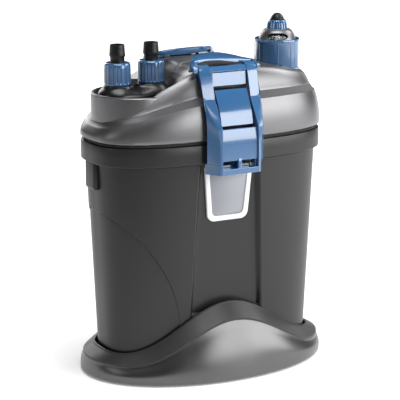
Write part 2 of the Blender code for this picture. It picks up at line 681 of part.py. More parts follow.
# ---- clips and handles ------------------------------------------------------------------
def make_clip(side, word):
    """Clip frame hung on the lid's pin: two folded rails, a crossbar and three panels."""
    def place(x, y, z):
        return (x, side * y, z)

    frame = None
    for hand in (-1, 1):
        rings = []
        for z, back, front, edge in RAIL_SECTIONS:
            rings.append([place(hand * RAIL_OUTER, back * MM, z * MM),
                          place(hand * (edge * MM + 0.4 * MM), front * MM, z * MM),
                          place(hand * RAIL_INNER, front * MM, z * MM),
                          place(hand * RAIL_INNER, back * MM, z * MM)])
        name = f"{word}_clip_frame" if hand < 0 else f"{word}_clip_rail"
        rail = loft(name, rings, "blue_plastic" if hand < 0 else None)
        ends = sorted((hand * RAIL_INNER, hand * RAIL_OUTER))
        eye = rod_x(f"{word}_clip_eye_{hand}", EYE_RADIUS, ends[0], ends[1], side * LUG_PIN[0],
                    LUG_PIN[1], None, 20)
        if hand < 0:
            frame = rail
            fuse(frame, eye)
        else:
            fuse(frame, rail, eye)
    # Front surface of each panel as (y, z) pairs with its thickness behind.
    panels = {
        "crossbar": ([(60.2, 347.0), (62.6, 341.0)], 1.6),
        "top_panel": ([(62.6, 341.5), (63.2, 326.5)], 2.2),
        "mid_panel": ([(68.0, 323.0), (77.5, 302.0), (85.3, 286.0)], 2.2),
        "low_panel": ([(87.0, 282.0), (88.6, 262.0), (88.6, 242.5)], 3.0),
        "foot_bar": ([(91.0, 238.5), (91.0, CLIP_BOTTOM / MM)], 9.0),
    }
    reach = RAIL_INNER + 0.6 * MM
    for part, (front, thick) in panels.items():
        section = [(y * MM, z * MM) for y, z in front]
        section += [((y - thick) * MM, z * MM) for y, z in reversed(front)]
        rings = [[place(x, y, z) for y, z in section] for x in (-reach, reach)]
        fuse(frame, loft(f"{word}_{part}", rings, None))
    bridge = {
        "top_bridge": ((-reach, 60.6, 324.0), (reach, 65.0, 328.0)),
        "mid_bridge": ((-reach, 79.5, 281.0), (reach, 84.5, 287.0)),
        "window_rib": ((-2.2 * MM, 80.5, 236.0), (2.2 * MM, 86.5, 244.0)),
        "window_side_1": ((-reach, 80.5, 236.0), (-19.0 * MM, 86.5, 244.0)),
        "window_side_2": ((19.0 * MM, 80.5, 236.0), (reach, 86.5, 244.0)),
    }
    for part, (low, high) in bridge.items():
        ys = sorted((side * low[1] * MM, side * high[1] * MM))
        fuse(frame, box(f"{word}_{part}", (low[0], ys[0], low[2] * MM),
                        (high[0], ys[1], high[2] * MM), None))
    y, z = side * LUG_PIN[0], LUG_PIN[1]
    cut(frame, rod_x(f"{word}_clip_bore", PIN_RADIUS + GAP, -40 * MM, 40 * MM, y, z, None))
    tip = sorted((side * 67.2 * MM, side * 80.2 * MM))
    box(f"{word}_clip_catch", (-18 * MM, tip[0], 237.5 * MM), (18 * MM, tip[1], 241.8 * MM),
        "blue_plastic")


def make_handle(side, word):
    """Carrying loop: a flat band that arches over the lid between two eyes on the pin."""
    rings = []
    for x, rear_y, rear_z, front_y, front_z, thick in LOOPS[word]:
        section = [(rear_y, rear_z), (front_y, front_z), (front_y, front_z - thick),
                   (rear_y, rear_z - thick)]
        rings.append([(x * MM, side * y * MM, z * MM) for y, z in section])
    handle = loft(f"{word}_handle", rings, "blue_plastic")
    cut(handle, rod_x(f"{word}_handle_bore", PIN_RADIUS + GAP, -50 * MM, 50 * MM,
                      side * LUG_PIN[0], LUG_PIN[1], None))


# ---- hose unit --------------------------------------------------------------------------
NOZZLE_PLACES = {"inlet": -103.6 * MM, "outlet": -62.8 * MM}
HOSE_TOP = 370 * MM
NUT_BOTTOM = 326 * MM
NUT_TOP = 350.5 * MM
NUT_RADIUS = 14.8 * MM

# ---- heater -----------------------------------------------------------------------------
COLLAR_TOP = 358.5 * MM
COLLAR_BOTTOM = 312 * MM
DOME_RADIUS = 22.1 * MM
WINDOW_HEADING = math.radians(28)      # the window looks towards the front left
TOP = 392 * MM

SEGMENTS = 28               # sides of a turned piece
QUARTER = 9                 # outline points on each rounded quarter

SLOTS = {   # colour, roughness, metallic
    "dark_shell": ((0.060, 0.062, 0.067), 0.42, 0.0),
    "lid_grey": ((0.130, 0.130, 0.140), 0.38, 0.0),
    "blue_plastic": ((0.030, 0.120, 0.360), 0.30, 0.0),
    "black_plastic": ((0.010, 0.010, 0.012), 0.22, 0.0),
    "rubber": ((0.012, 0.012, 0.012), 0.80, 0.0),
    "badge_white": ((0.780, 0.790, 0.800), 0.35, 0.0),
    "badge_grey": ((0.560, 0.590, 0.610), 0.30, 0.0),
    "steel": ((0.600, 0.600, 0.590), 0.25, 1.0),
    "glass": ((0.800, 0.850, 0.880), 0.05, 0.0),
    "drum_black": ((0.015, 0.015, 0.018), 0.45, 0.0),
    "inner_grey": ((0.250, 0.260, 0.270), 0.50, 0.0),
    "foam_blue": ((0.050, 0.200, 0.420), 0.95, 0.0),
    "foam_black": ((0.020, 0.020, 0.022), 0.95, 0.0),
    "ceramic": ((0.780, 0.740, 0.660), 0.70, 0.0),
    "magnet": ((0.050, 0.050, 0.055), 0.50, 0.6),
}


# ---- scene helpers ----------------------------------------------------------------------
def clear_scene():
    for old in list(bpy.data.objects):
        bpy.data.objects.remove(old, do_unlink=True)


def new_collection(name):
    collection = bpy.data.collections.new(name)
    bpy.context.scene.collection.children.link(collection)
    return collection


def slot_material(slot):
    if slot in bpy.data.materials:
        return bpy.data.materials[slot]
    colour, roughness, metallic = SLOTS[slot]
    material = bpy.data.materials.new(slot)
    material.use_nodes = True
    shader = material.node_tree.nodes["Principled BSDF"]
    shader.inputs["Base Color"].default_value = (*colour, 1.0)
    shader.inputs["Roughness"].default_value = roughness
    shader.inputs["Metallic"].default_value = metallic
    material.diffuse_color = (*colour, 1.0)
    return material


clear_scene()
PARTS = new_collection(NAME)
CUTTERS = new_collection("cutters")


def add_object(name, mesh, slot, at=(0.0, 0.0, 0.0)):
    """A part when it has a material slot, otherwise a hidden tool for Booleans."""
    item = bpy.data.objects.new(name, mesh)
    item.location = at
    if slot:
        mesh.materials.append(slot_material(slot))
        PARTS.objects.link(item)
    else:
        CUTTERS.objects.link(item)
        item.hide_render = True
        item.display_type = "WIRE"
    return item


def bmesh_object(name, bm, slot, at=(0.0, 0.0, 0.0)):
    bmesh.ops.recalc_face_normals(bm, faces=bm.faces)
    mesh = bpy.data.meshes.new(name)
    bm.to_mesh(mesh)
    bm.free()
    return add_object(name, mesh, slot, at)


def loft(name, rings, slot, closed=False):
    """A closed solid through rings of equal point counts, capped or joined end to end."""
    bm = bmesh.new()
    loops = [[bm.verts.new(point) for point in ring] for ring in rings]
    count = len(loops[0])
    pairs = list(zip(loops, loops[1:]))
    if closed:
        pairs.append((loops[-1], loops[0]))
    for low, high in pairs:
        for i in range(count):
            j = (i + 1) % count
            bm.faces.new((low[i], low[j], high[j], high[i]))
    if not closed:
        bm.faces.new(loops[0])
        bm.faces.new(loops[-1])
    bmesh.ops.triangulate(bm, faces=bm.faces)
    return bmesh_object(name, bm, slot)


def turned(name, profile, slot, at=(0.0, 0.0, 0.0), ring=False, steps=SEGMENTS):
    """A profile of (radius, height) turned about Z. It runs down its outer side."""
    edges = [(i, i + 1) for i in range(len(profile) - 1)]
    if ring:
        edges.append((len(profile) - 1, 0))
    mesh = bpy.data.meshes.new(name)
    mesh.from_pydata([(radius, 0.0, height) for radius, height in profile], edges, [])
    item = add_object(name, mesh, slot, at)
    screw = item.modifiers.new("turn", "SCREW")
    screw.steps = screw.render_steps = steps
    screw.use_merge_vertices = True
    screw.merge_threshold = 0.00001
    return item


def disc(name, radius, low, high, slot, at=(0.0, 0.0), steps=SEGMENTS):
    profile = [(0.0, high), (radius, high), (radius, low), (0.0, low)]
    return turned(name, profile, slot, (*at, 0.0), steps=steps)


def tube(name, outer, inner, low, high, slot, at=(0.0, 0.0), steps=SEGMENTS):
    profile = [(inner, high), (outer, high), (outer, low), (inner, low)]
    return turned(name, profile, slot, (*at, 0.0), ring=True, steps=steps)


def torus(name, major, minor, z, slot, at=(0.0, 0.0)):
    angles = [math.radians(90 - 60 * i) for i in range(6)]
    profile = [(major + minor * math.cos(a), z + minor * math.sin(a)) for a in angles]
    return turned(name, profile, slot, (*at, 0.0), ring=True)


def box(name, low, high, slot):
    bm = bmesh.new()
    bmesh.ops.create_cube(bm, size=1.0)
    size = Vector(high) - Vector(low)
    middle = (Vector(high) + Vector(low)) / 2
    bmesh.ops.transform(bm, matrix=Matrix.Translation(middle) @ Matrix.Diagonal((*size, 1.0)),
                        verts=bm.verts)
    return bmesh_object(name, bm, slot)


def rod_x(name, radius, low, high, y, z, slot, sides=16):
    """A round bar along X."""
    bm = bmesh.new()
    bmesh.ops.create_cone(bm, cap_ends=True, segments=sides, radius1=radius, radius2=radius,
                          depth=high - low)
    turn = Matrix.Translation(((low + high) / 2, y, z)) @ Matrix.Rotation(math.pi / 2, 4, "Y")
    bmesh.ops.transform(bm, matrix=turn, verts=bm.verts)
    return bmesh_object(name, bm, slot)


def round_edges(item, width, segments=1, angle=40):
    bevel = item.modifiers.new("rounding", "BEVEL")
    bevel.width = width
    bevel.segments = segments
    bevel.limit_method = "ANGLE"
    bevel.angle_limit = math.radians(angle)
    bevel.harden_normals = False


def boolean(item, other, operation):
    step = item.modifiers.new(operation.lower(), "BOOLEAN")
    step.operation = operation
    step.solver = "EXACT"
    step.object = other


def cut(item, *tools):
    for tool in tools:
        boolean(item, tool, "DIFFERENCE")


def fuse(item, *tools):
    for tool in tools:
        boolean(item, tool, "UNION")


def smooth_line(points):
    """A smooth curve through a few (x, z) points, as a function of x."""
    xs, zs = np.array(points).T
    slopes = np.gradient(zs, xs)

    def height(x):
        x = min(max(x, xs[0]), xs[-1])
        i = min(int(np.searchsorted(xs, x, side="right")) - 1, len(xs) - 2)
        span = xs[i + 1] - xs[i]
        t = (x - xs[i]) / span
        near, far = 1 - 3 * t * t + 2 * t ** 3, 3 * t * t - 2 * t ** 3
        lean = span * (t * (1 - t) ** 2 * slopes[i] - t * t * (1 - t) * slopes[i + 1])
        return float(near * zs[i] + far * zs[i + 1] + lean)
    return height


# ---- outlines ---------------------------------------------------------------------------
def side_y(x, half, power):
    """Distance from the middle plane of a superellipse with half sizes `half` at x."""
    return half[1] * max(0.0, 1 - (abs(x) / half[0]) ** power) ** (1 / power)


def outline(half, power, panel_edge, depth=0.0):
    """Points round a superellipse, with the same count and places on every ring.

    The points at +-panel_edge and PANEL_SLOPE inside it bound the middle panel, which lies
    `depth` inside the curve.
    """
    last = math.acos((panel_edge / half[0]) ** (power / 2))
    quarter = []
    for i in range(QUARTER):
        angle = last * i / (QUARTER - 1)
        x = half[0] * math.cos(angle) ** (2 / power)
        quarter.append((x, side_y(x, half, power) if i else 0.0))
    inner = panel_edge - PANEL_SLOPE
    for x in (inner, inner / 2):
        y = half[1] - depth if depth else side_y(x, half, power)
        quarter.append((x, y))
    middle = [(0.0, half[1] - depth)]
    right_rear = quarter
    left_rear = [(-x, y) for x, y in reversed(quarter)]
    left_front = [(-x, -y) for x, y in quarter[1:]]
    right_front = [(x, -y) for x, y in reversed(quarter[1:])]
    front_middle = [(0.0, -half[1] + depth)]
    return right_rear + middle + left_rear + left_front + front_middle + right_front


def blend(low, high, t):
    return low + (high - low) * t


def body_half(z):
    t = (z - BODY_LOW_Z) / (BODY_HIGH_Z - BODY_LOW_Z)
    return tuple(blend(a, b, t) for a, b in zip(BODY_LOW, BODY_HIGH))


def panel_half(z):
    return blend(PANEL_HALF_LOW, PANEL_HALF_TOP, (z - 75 * MM) / (156 * MM))


def grown(half, amount):
    return half[0] + amount, half[1] + amount


def body_ring(z, half, depth=0.0):
    return [(x, y, z) for x, y in outline(half, BODY_POWER, panel_half(z), depth)]


# ---- foot -------------------------------------------------------------------------------
def wave(x):
    t = min(abs(x) / FOOT_WAVE_HALF, 1.0)
    return 0.5 * (1 + math.cos(math.pi * t))


def foot_ring(half, power, height, rise=0.0):
    """A ring whose height follows the wave by `rise`."""
    return [(x, y, height + rise * wave(x))
            for x, y in outline(half, power, PANEL_HALF_LOW)]


def make_foot():
    outer = (FOOT_HALF_LENGTH, FOOT_HALF_DEPTH)
    low = body_half(BODY_LOW_Z)
    pocket = grown(low, 0.7 * MM)
    band = (143.5 * MM, 92.0 * MM)
    band_inside = grown(band, -FOOT_WALL)
    rings = [
        foot_ring(pocket, BODY_POWER, FOOT_PLATE_BOTTOM),
        foot_ring(grown(pocket, FOOT_WALL), BODY_POWER, FOOT_PLATE_BOTTOM),
        foot_ring(grown(pocket, FOOT_WALL), BODY_POWER, FOOT_TOP_LOW - 8 * MM, FOOT_TOP_RISE),
        band_ring(band_inside, -3.5 * MM),
        foot_ring(grown(outer, -FOOT_WALL), FOOT_POWER, FOOT_BOTTOM),
        foot_ring(grown(outer, -0.8 * MM), FOOT_POWER, FOOT_BOTTOM),
        foot_ring(outer, FOOT_POWER, FOOT_BOTTOM + 2.5 * MM),
        band_ring(band, 0.0),
        top_ring(pocket, 3.2 * MM, -1.2 * MM),
        top_ring(pocket, 2.0 * MM, 0.0),
        top_ring(pocket, 0.5 * MM, -0.6 * MM),
        foot_ring(pocket, BODY_POWER, FOOT_PLATE_TOP),
    ]
    loft("foot_plinth", rings, "dark_shell")
    for i, place in enumerate(PAD_PLACES, start=1):
        disc(f"foot_pad_{i}", PAD_RADIUS, 0.0, FOOT_PLATE_BOTTOM - GAP, "rubber", place, 20)


def band_ring(half, shift):
    """The lower line of the sloping band: it draws in where it climbs."""
    ring = []
    for x, y in outline(half, FOOT_POWER, PANEL_HALF_LOW):
        climb = wave(x)
        ring.append((x, y * (1 - 0.125 * climb), FOOT_BAND_LOW + shift + FOOT_BAND_RISE * climb))
    return ring


def top_ring(pocket, spread, shift):
    """The top edge, which stays close to the container as that widens upwards."""
    ring = []
    for x, y in outline(grown(pocket, spread), BODY_POWER, PANEL_HALF_LOW):
        z = FOOT_TOP_LOW + shift + FOOT_TOP_RISE * wave(x)
        ring.append((x, y * (1 + 0.03 * wave(x)), z))
    return ring


# ---- container --------------------------------------------------------------------------
def make_container():
    def wall(z, inset, depth):
        return body_ring(z, grown(body_half(z), -inset), depth)

    panel_top = RIM_BOTTOM - 0.5 * MM
    closed = PANEL_END - PANEL_DEPTH
    outer = [
        body_ring(BODY_BOTTOM, grown(body_half(BODY_BOTTOM), -2.5 * MM)),
        body_ring(BODY_BOTTOM + 2.5 * MM, body_half(BODY_BOTTOM)),
        wall(closed, 0.0, 0.0),
        wall(PANEL_END, 0.0, PANEL_DEPTH),
        wall(130 * MM, 0.0, PANEL_DEPTH),
        wall(190 * MM, 0.0, PANEL_DEPTH),
        wall(panel_top, 0.0, PANEL_DEPTH),
        body_ring(RIM_BOTTOM, grown(RIM, -0.6 * MM)),
        body_ring(RIM_BOTTOM + 0.8 * MM, RIM),
        body_ring(RIM_TOP - 0.8 * MM, RIM),
        body_ring(RIM_TOP, grown(RIM, -0.6 * MM)),
    ]
    inner = [
        body_ring(RIM_TOP, RIM_MOUTH),
        body_ring(RIM_BOTTOM + 4 * MM, RIM_MOUTH),
        wall(panel_top - 3 * MM, BODY_WALL, PANEL_DEPTH),
        wall(130 * MM, BODY_WALL, PANEL_DEPTH),
        wall(PANEL_END, BODY_WALL, PANEL_DEPTH),
        wall(BODY_FLOOR, BODY_WALL + 0.5 * MM, PANEL_DEPTH),
    ]
    container = loft("container", outer + inner, "dark_shell")
    for side in (-1, 1):
        ends = sorted((side * 133.4 * MM, side * LUG_REACH))
        lug = box(f"end_lug_{side}", (ends[0], -LUG_HALF, LUG_BOTTOM),
                  (ends[1], LUG_HALF, RIM_BOTTOM + 1 * MM), None)
        fuse(container, lug)


def badge_outline(inset):
    """A shield: slightly narrower at the foot, with sloping lower corners."""
    top = BADGE_TOP - inset
    low = BADGE_BOTTOM + inset
    half_top = BADGE_HALF_TOP - inset
    half_low = BADGE_HALF_LOW - inset
    corner = BADGE_CORNER - 0.4 * inset
    right = [(half_low - corner, low), (half_low - 0.3 * corner, low + 0.35 * corner),
             (half_low, low + 1.15 * corner), (half_top, top)]
    return [(x, z) for x, z in right] + [(-x, z) for x, z in reversed(right)]


def flat_plate(name, outlines, thick, slot):
    """A flat outline standing up, with any further outlines as openings in it."""
    curve = bpy.data.curves.new(name, "CURVE")
    curve.dimensions = "2D"
    curve.fill_mode = "BOTH"
    curve.extrude = thick / 2
    for points in outlines:
        spline = curve.splines.new("POLY")
        spline.points.add(len(points) - 1)
        for point, (x, z) in zip(spline.points, points):
            point.co = (x, z, 0.0, 1.0)
        spline.use_cyclic_u = True
    return add_object(name, curve, slot)


def make_badge():
    high, low = body_half(BODY_HIGH_Z), body_half(BODY_LOW_Z)
    lean = math.atan((high[1] - low[1]) / (BODY_HIGH_Z - BODY_LOW_Z))
    middle = (BADGE_TOP + BADGE_BOTTOM) / 2
    face = body_half(middle)[1] - PANEL_DEPTH
    stand = face + GAP + BADGE_THICK / 2
    place = Matrix.Translation((0.0, -stand, middle)) @ Matrix.Rotation(lean + math.pi / 2, 4, "X")
    place = place @ Matrix.Translation((0.0, -middle, 0.0))
    border = badge_outline(0.0)
    field = badge_outline(BADGE_BORDER)
    frame = flat_plate("badge_frame", [border, field], BADGE_THICK, "badge_white")
    plate = flat_plate("badge_plate", [badge_outline(BADGE_BORDER + GAP)], BADGE_THICK - 1 * MM,
                       "badge_grey")
    for item in (frame, plate):
        item.matrix_world = place


# ---- lid --------------------------------------------------------------------------------
crown = smooth_line(CROWN)


def droop(x):
    """How far the lid's step line has sunk towards the hose end."""
    return 20 * MM * (max(0.0, -20 * MM - x) / (115 * MM)) ** 1.6


def stripe_low(x):
    return STRIPE_LOW - droop(x)


def stripe_high(x):
    fade = min(1.0, max(0.0, (-35 * MM - x) / (65 * MM)))
    return stripe_low(x) + blend(STRIPE_RISE, 1 * MM, fade)


def lid_ring(half, level, inset=0.0):
    """One ring of the dome. Level 0 is the seam, 1 the step's lower edge, 2 its upper edge
    and 3 the crown line."""
    ring = []
    for x, y in outline(grown(half, -inset), LID_POWER, PANEL_HALF_LOW):
        low, high = stripe_low(x), stripe_high(x)
        top = max(crown(x), high + 0.5 * MM)
        if level <= 1:
            z = blend(LID_BOTTOM, low, level)
        elif level <= 2:
            z = blend(low, high, level - 1)
        else:
            z = blend(high, top, level - 2)
        ring.append((x, y, z - inset if level else z))
    return ring


LID_RINGS = [((139.4, 71.2), 0.0), ((140.2, 72.0), 0.08), ((140.0, 71.8), 0.35),
             ((138.3, 70.3), 0.66), ((135.0, 67.0), 1.0), ((128.4, 60.8), 2.0),
             ((126.0, 57.2), 2.42), ((121.5, 51.5), 2.80), ((108.0, 41.0), 2.97),
             ((70.0, 22.0), 3.0)]


def make_lid():
    halves = [((a * MM, b * MM), level) for (a, b), level in LID_RINGS]
    outer = [lid_ring(half, level) for half, level in halves]
    inner = [lid_ring(half, level, LID_WALL) for half, level in halves]
    lid = loft("lid_shell", outer, "lid_grey")
    at = (TUB_X, 0.0)
    fuse(lid, disc("tub_block", TUB_RADIUS, TUB_UNDERSIDE, TUB_RIM, None, at, 40))
    cut(lid, disc("tub_pocket", TUB_INNER, TUB_LEDGE, 400 * MM, None, at, 40))
    hollow = loft("lid_hollow", [[(x, y, LID_BOTTOM - 5 * MM) for x, y, _ in inner[0]]] + inner[1:],
                  None)
    cut(hollow, disc("tub_room", TUB_RADIUS, TUB_UNDERSIDE, 400 * MM, None, at, 40))
    cut(lid, hollow, disc("tub_floor_hole", TUB_HOLE, 200 * MM, 320 * MM, None, at, 40),
        disc("collar_hole", COLLAR_RADIUS + GAP, 290 * MM, 400 * MM, None, (HEATER_X, 0.0)))
    for side in (-1, 1):
        for hand in (-1, 1):
            fuse(lid, pin_lug(side, hand))
        y, z = side * LUG_PIN[0], LUG_PIN[1]
        cut(lid, rod_x(f"pin_bore_{side}", PIN_RADIUS + GAP, -30 * MM, 30 * MM, y, z, None))
    gland = rod_y("gland_bore", 4.3 * MM, 50 * MM, 90 * MM, 60 * MM, 284 * MM, None)
    cut(lid, gland)


def pin_lug(side, hand):
    """A small upright ear on the lid's shoulder that holds a clip pin."""
    reach, height = LUG_PIN
    arc = [math.radians(180 - 22.5 * i) for i in range(9)]
    section = [(reach - LUG_RADIUS, 326 * MM)]
    section += [(reach + LUG_RADIUS * math.cos(a), height + LUG_RADIUS * math.sin(a)) for a in arc]
    section.append((reach + LUG_RADIUS, 326 * MM))
    rings = [[(hand * x, side * y, z) for y, z in section] for x in (13.5 * MM, 20.5 * MM)]
    return loft(f"pin_lug_{side}_{hand}", rings, None)


def rod_y(name, radius, low, high, x, z, slot, sides=20):
    """A round bar along Y."""
    bm = bmesh.new()
    bmesh.ops.create_cone(bm, cap_ends=True, segments=sides, radius1=radius, radius2=radius,
                          depth=high - low)
    turn = Matrix.Translation((x, (low + high) / 2, z)) @ Matrix.Rotation(math.pi / 2, 4, "X")
    bmesh.ops.transform(bm, matrix=turn, verts=bm.verts)
    return bmesh_object(name, bm, slot)


def make_lid_fittings():
    seal = [body_ring(z, half) for half, z in (
        ((133.0 * MM, 65.8 * MM), RIM_TOP + GAP), ((137.6 * MM, 69.4 * MM), RIM_TOP + GAP),
        ((137.6 * MM, 69.4 * MM), 267.4 * MM), ((133.0 * MM, 65.8 * MM), 267.4 * MM))]
    loft("lid_seal", seal, "rubber", closed=True)
    gland = rod_y("pump_cable_gland", 4.0 * MM, 62 * MM, 80 * MM, 60 * MM, 284 * MM,
                  "black_plastic")
    cut(gland, rod_y("gland_core", 2.2 * MM, 55 * MM, 90 * MM, 60 * MM, 284 * MM, None, 12))
    for side, word in ((-1, "front"), (1, "rear")):
        rod_x(f"{word}_hinge_pin", PIN_RADIUS, -44.5 * MM, 44.5 * MM, side * LUG_PIN[0],
              LUG_PIN[1], "steel", 12)


def make_head_plate():
    spigot, flange = (130.4 * MM, 63.4 * MM), (136.2 * MM, 68.0 * MM)
    inside = grown(spigot, -2 * MM)
    rings = [body_ring(z, half) for half, z in (
        (spigot, PLATE_BOTTOM), (spigot, 267.7 * MM), (flange, 267.7 * MM),
        (flange, 270 * MM), (inside, 270 * MM), (inside, PLATE_TOP))]
    plate = loft("head_plate", rings, "inner_grey")
    cut(plate, disc("rotor_hole", 12 * MM, 240 * MM, 262 * MM, None, (PUMP_X, 0.0), 24),
        disc("heater_hole", 22 * MM, 240 * MM, 262 * MM, None, (HEATER_X, 0.0), 24),
        disc("prefilter_hole", TUB_HOLE, 240 * MM, 262 * MM, None, (TUB_X, 0.0)))
    cut(plate, *screw_holes("plate"))


# ---- pump -------------------------------------------------------------------------------
def screw_places():
    for i in range(3):
        angle = math.radians(120 * i + 90)
        yield (PUMP_X + SCREW_CIRCLE * math.cos(angle), SCREW_CIRCLE * math.sin(angle))


def screw_holes(word):
    return [disc(f"{word}_screw_hole_{i}", 1.6 * MM, 225 * MM, 262 * MM, None, place, 8)
            for i, place in enumerate(screw_places())]


def make_pump():
    at = (PUMP_X, 0.0)
    well_top = 305 * MM
    base = PLATE_TOP + GAP
    profile = [(0.0, MOTOR_TOP), (MOTOR_RADIUS - 3 * MM, MOTOR_TOP),
               (MOTOR_RADIUS, MOTOR_TOP - 3 * MM), (MOTOR_RADIUS, base), (ROTOR_WELL, base),
               (ROTOR_WELL, well_top), (0.0, well_top)]
    motor = turned("motor_housing", profile, "black_plastic", (*at, 0.0))
    cut(motor, *screw_holes("motor"))
    make_volute(at)
    make_rotor(at, well_top)


def make_volute(at):
    top = PLATE_BOTTOM - GAP
    inside = VOLUTE_RADIUS - 2.5 * MM
    brim = VOLUTE_RADIUS + 7 * MM
    floor = VOLUTE_BOTTOM + 2.5 * MM
    profile = [(0.0, floor), (inside, floor), (inside, top), (brim, top), (brim, top - 2.5 * MM),
               (VOLUTE_RADIUS, top - 2.5 * MM), (VOLUTE_RADIUS, VOLUTE_BOTTOM),
               (0.0, VOLUTE_BOTTOM)]
    volute = turned("volute_cover", profile, "inner_grey", (*at, 0.0))
    cut(volute, *screw_holes("volute"))
    for i in range(4):
        angle = math.radians(90 * i)
        place = (PUMP_X + 9 * MM * math.cos(angle), 9 * MM * math.sin(angle))
        cut(volute, disc(f"volute_inlet_{i}", 3.5 * MM, 220 * MM, 240 * MM, None, place, 10))
    head = top - 2.5 * MM - GAP
    for i, place in enumerate(screw_places(), start=1):
        profile = [(0.0, 259 * MM), (1.3 * MM, 259 * MM), (1.3 * MM, head), (2.8 * MM, head),
                   (2.8 * MM, head - 2 * MM), (0.0, head - 2 * MM)]
        turned(f"volute_screw_{i}", profile, "steel", (*place, 0.0), steps=10)


def make_rotor(at, well_top):
    bore = PIN_RADIUS + GAP
    hub_low, hub_high = 236 * MM, 250.5 * MM
    impeller = tube("impeller", 9 * MM, bore, hub_low, hub_high, "inner_grey", at, 24)
    for i in range(5):
        blade = box(f"blade_{i}", (PUMP_X + 6 * MM, -0.9 * MM, hub_low + 0.5 * MM),
                    (PUMP_X + 21 * MM, 0.9 * MM, 247 * MM), None)
        pivot = Matrix.Translation((PUMP_X, 0.0, 0.0))
        turn = Matrix.Rotation(math.radians(72 * i), 4, "Z")
        blade.data.transform(pivot @ turn @ pivot.inverted())
        fuse(impeller, blade)
    tube("rotor_magnet", 9.5 * MM, bore, hub_high + GAP, 298 * MM, "magnet", at, 24)
    disc("rotor_shaft", PIN_RADIUS, 233.5 * MM, 303.5 * MM, "steel", at, 12)
    bush_foot = VOLUTE_BOTTOM + 2.5 * MM + GAP
    tube("shaft_bush_lower", 4 * MM, PIN_RADIUS + GAP, bush_foot, hub_low - GAP, "rubber", at, 16)
    tube("shaft_bush_upper", 6 * MM, PIN_RADIUS + GAP, 299 * MM, well_top - GAP, "rubber", at, 16)


# ---- clips and handles ------------------------------------------------------------------
def make_clip(side, word):
    """Clip frame hung on the lid's pin: two folded rails, a crossbar and three panels."""
    def place(x, y, z):
        return (x, side * y, z)

    frame = None
    for hand in (-1, 1):
        rings = []
        for z, back, front, edge in RAIL_SECTIONS:
            rings.append([place(hand * RAIL_OUTER, back * MM, z * MM),
                          place(hand * (edge * MM + 0.4 * MM), front * MM, z * MM),
                          place(hand * RAIL_INNER, front * MM, z * MM),
                          place(hand * RAIL_INNER, back * MM, z * MM)])
        name = f"{word}_clip_frame" if hand < 0 else f"{word}_clip_rail"
        rail = loft(name, rings, "blue_plastic" if hand < 0 else None)
        ends = sorted((hand * RAIL_INNER, hand * RAIL_OUTER))
        eye = rod_x(f"{word}_clip_eye_{hand}", EYE_RADIUS, ends[0], ends[1], side * LUG_PIN[0],
                    LUG_PIN[1], None, 20)
        if hand < 0:
            frame = rail
            fuse(frame, eye)
        else:
            fuse(frame, rail, eye)
    # Front surface of each panel as (y, z) pairs with its thickness behind.
    panels = {
        "crossbar": ([(60.2, 347.0), (62.6, 341.0)], 1.6),
        "top_panel": ([(62.6, 341.5), (63.2, 326.5)], 2.2),
        "mid_panel": ([(68.0, 323.0), (77.5, 302.0), (85.3, 286.0)], 2.2),
        "low_panel": ([(87.0, 282.0), (88.6, 262.0), (88.6, 242.5)], 3.0),
        "foot_bar": ([(91.0, 238.5), (91.0, CLIP_BOTTOM / MM)], 9.0),
    }
    reach = RAIL_INNER + 0.6 * MM
    for part, (front, thick) in panels.items():
        section = [(y * MM, z * MM) for y, z in front]
        section += [((y - thick) * MM, z * MM) for y, z in reversed(front)]
        rings = [[place(x, y, z) for y, z in section] for x in (-reach, reach)]
        fuse(frame, loft(f"{word}_{part}", rings, None))
    bridge = {
        "top_bridge": ((-reach, 60.6, 324.0), (reach, 65.0, 328.0)),
        "mid_bridge": ((-reach, 79.5, 281.0), (reach, 84.5, 287.0)),
        "window_rib": ((-2.2 * MM, 80.5, 236.0), (2.2 * MM, 86.5, 244.0)),
        "window_side_1": ((-reach, 80.5, 236.0), (-19.0 * MM, 86.5, 244.0)),
        "window_side_2": ((19.0 * MM, 80.5, 236.0), (reach, 86.5, 244.0)),
    }
    for part, (low, high) in bridge.items():
        ys = sorted((side * low[1] * MM, side * high[1] * MM))
        fuse(frame, box(f"{word}_{part}", (low[0], ys[0], low[2] * MM),
                        (high[0], ys[1], high[2] * MM), None))
    y, z = side * LUG_PIN[0], LUG_PIN[1]
    cut(frame, rod_x(f"{word}_clip_bore", PIN_RADIUS + GAP, -40 * MM, 40 * MM, y, z, None))
    tip = sorted((side * 67.2 * MM, side * 80.2 * MM))
    box(f"{word}_clip_catch", (-18 * MM, tip[0], 237.5 * MM), (18 * MM, tip[1], 241.8 * MM),
        "blue_plastic")


def make_handle(side, word):
    """Carrying loop: a flat band that arches over the lid between two eyes on the pin."""
    stations = [   # distance from the middle, rear y, rear z, front y, front z, thickness
        (0.0, 29.0, 359.0, 45.5, 356.5, 3.2), (12.0, 30.0, 358.6, 46.0, 356.0, 3.2),
        (22.0, 33.0, 357.4, 47.6, 354.8, 3.2), (30.0, 38.0, 355.4, 50.0, 353.2, 3.2),
        (35.8, 43.0, 354.0, 53.0, 353.2, 2.8), (36.2, 46.0, 351.6, 60.4, 348.6, 9.6),
        (43.5, 48.5, 349.6, 60.4, 347.6, 8.6)]
    mirrored = [(-x, *rest) for x, *rest in reversed(stations[1:])]
    rings = []
    for x, rear_y, rear_z, front_y, front_z, thick in mirrored + stations:
        section = [(rear_y, rear_z), (front_y, front_z), (front_y, front_z - thick),
                   (rear_y, rear_z - thick)]
        rings.append([(x * MM, side * y * MM, z * MM) for y, z in section])
    handle = loft(f"{word}_handle", rings, "blue_plastic")
    cut(handle, rod_x(f"{word}_handle_bore", PIN_RADIUS + GAP, -50 * MM, 50 * MM,
                      side * LUG_PIN[0], LUG_PIN[1], None))


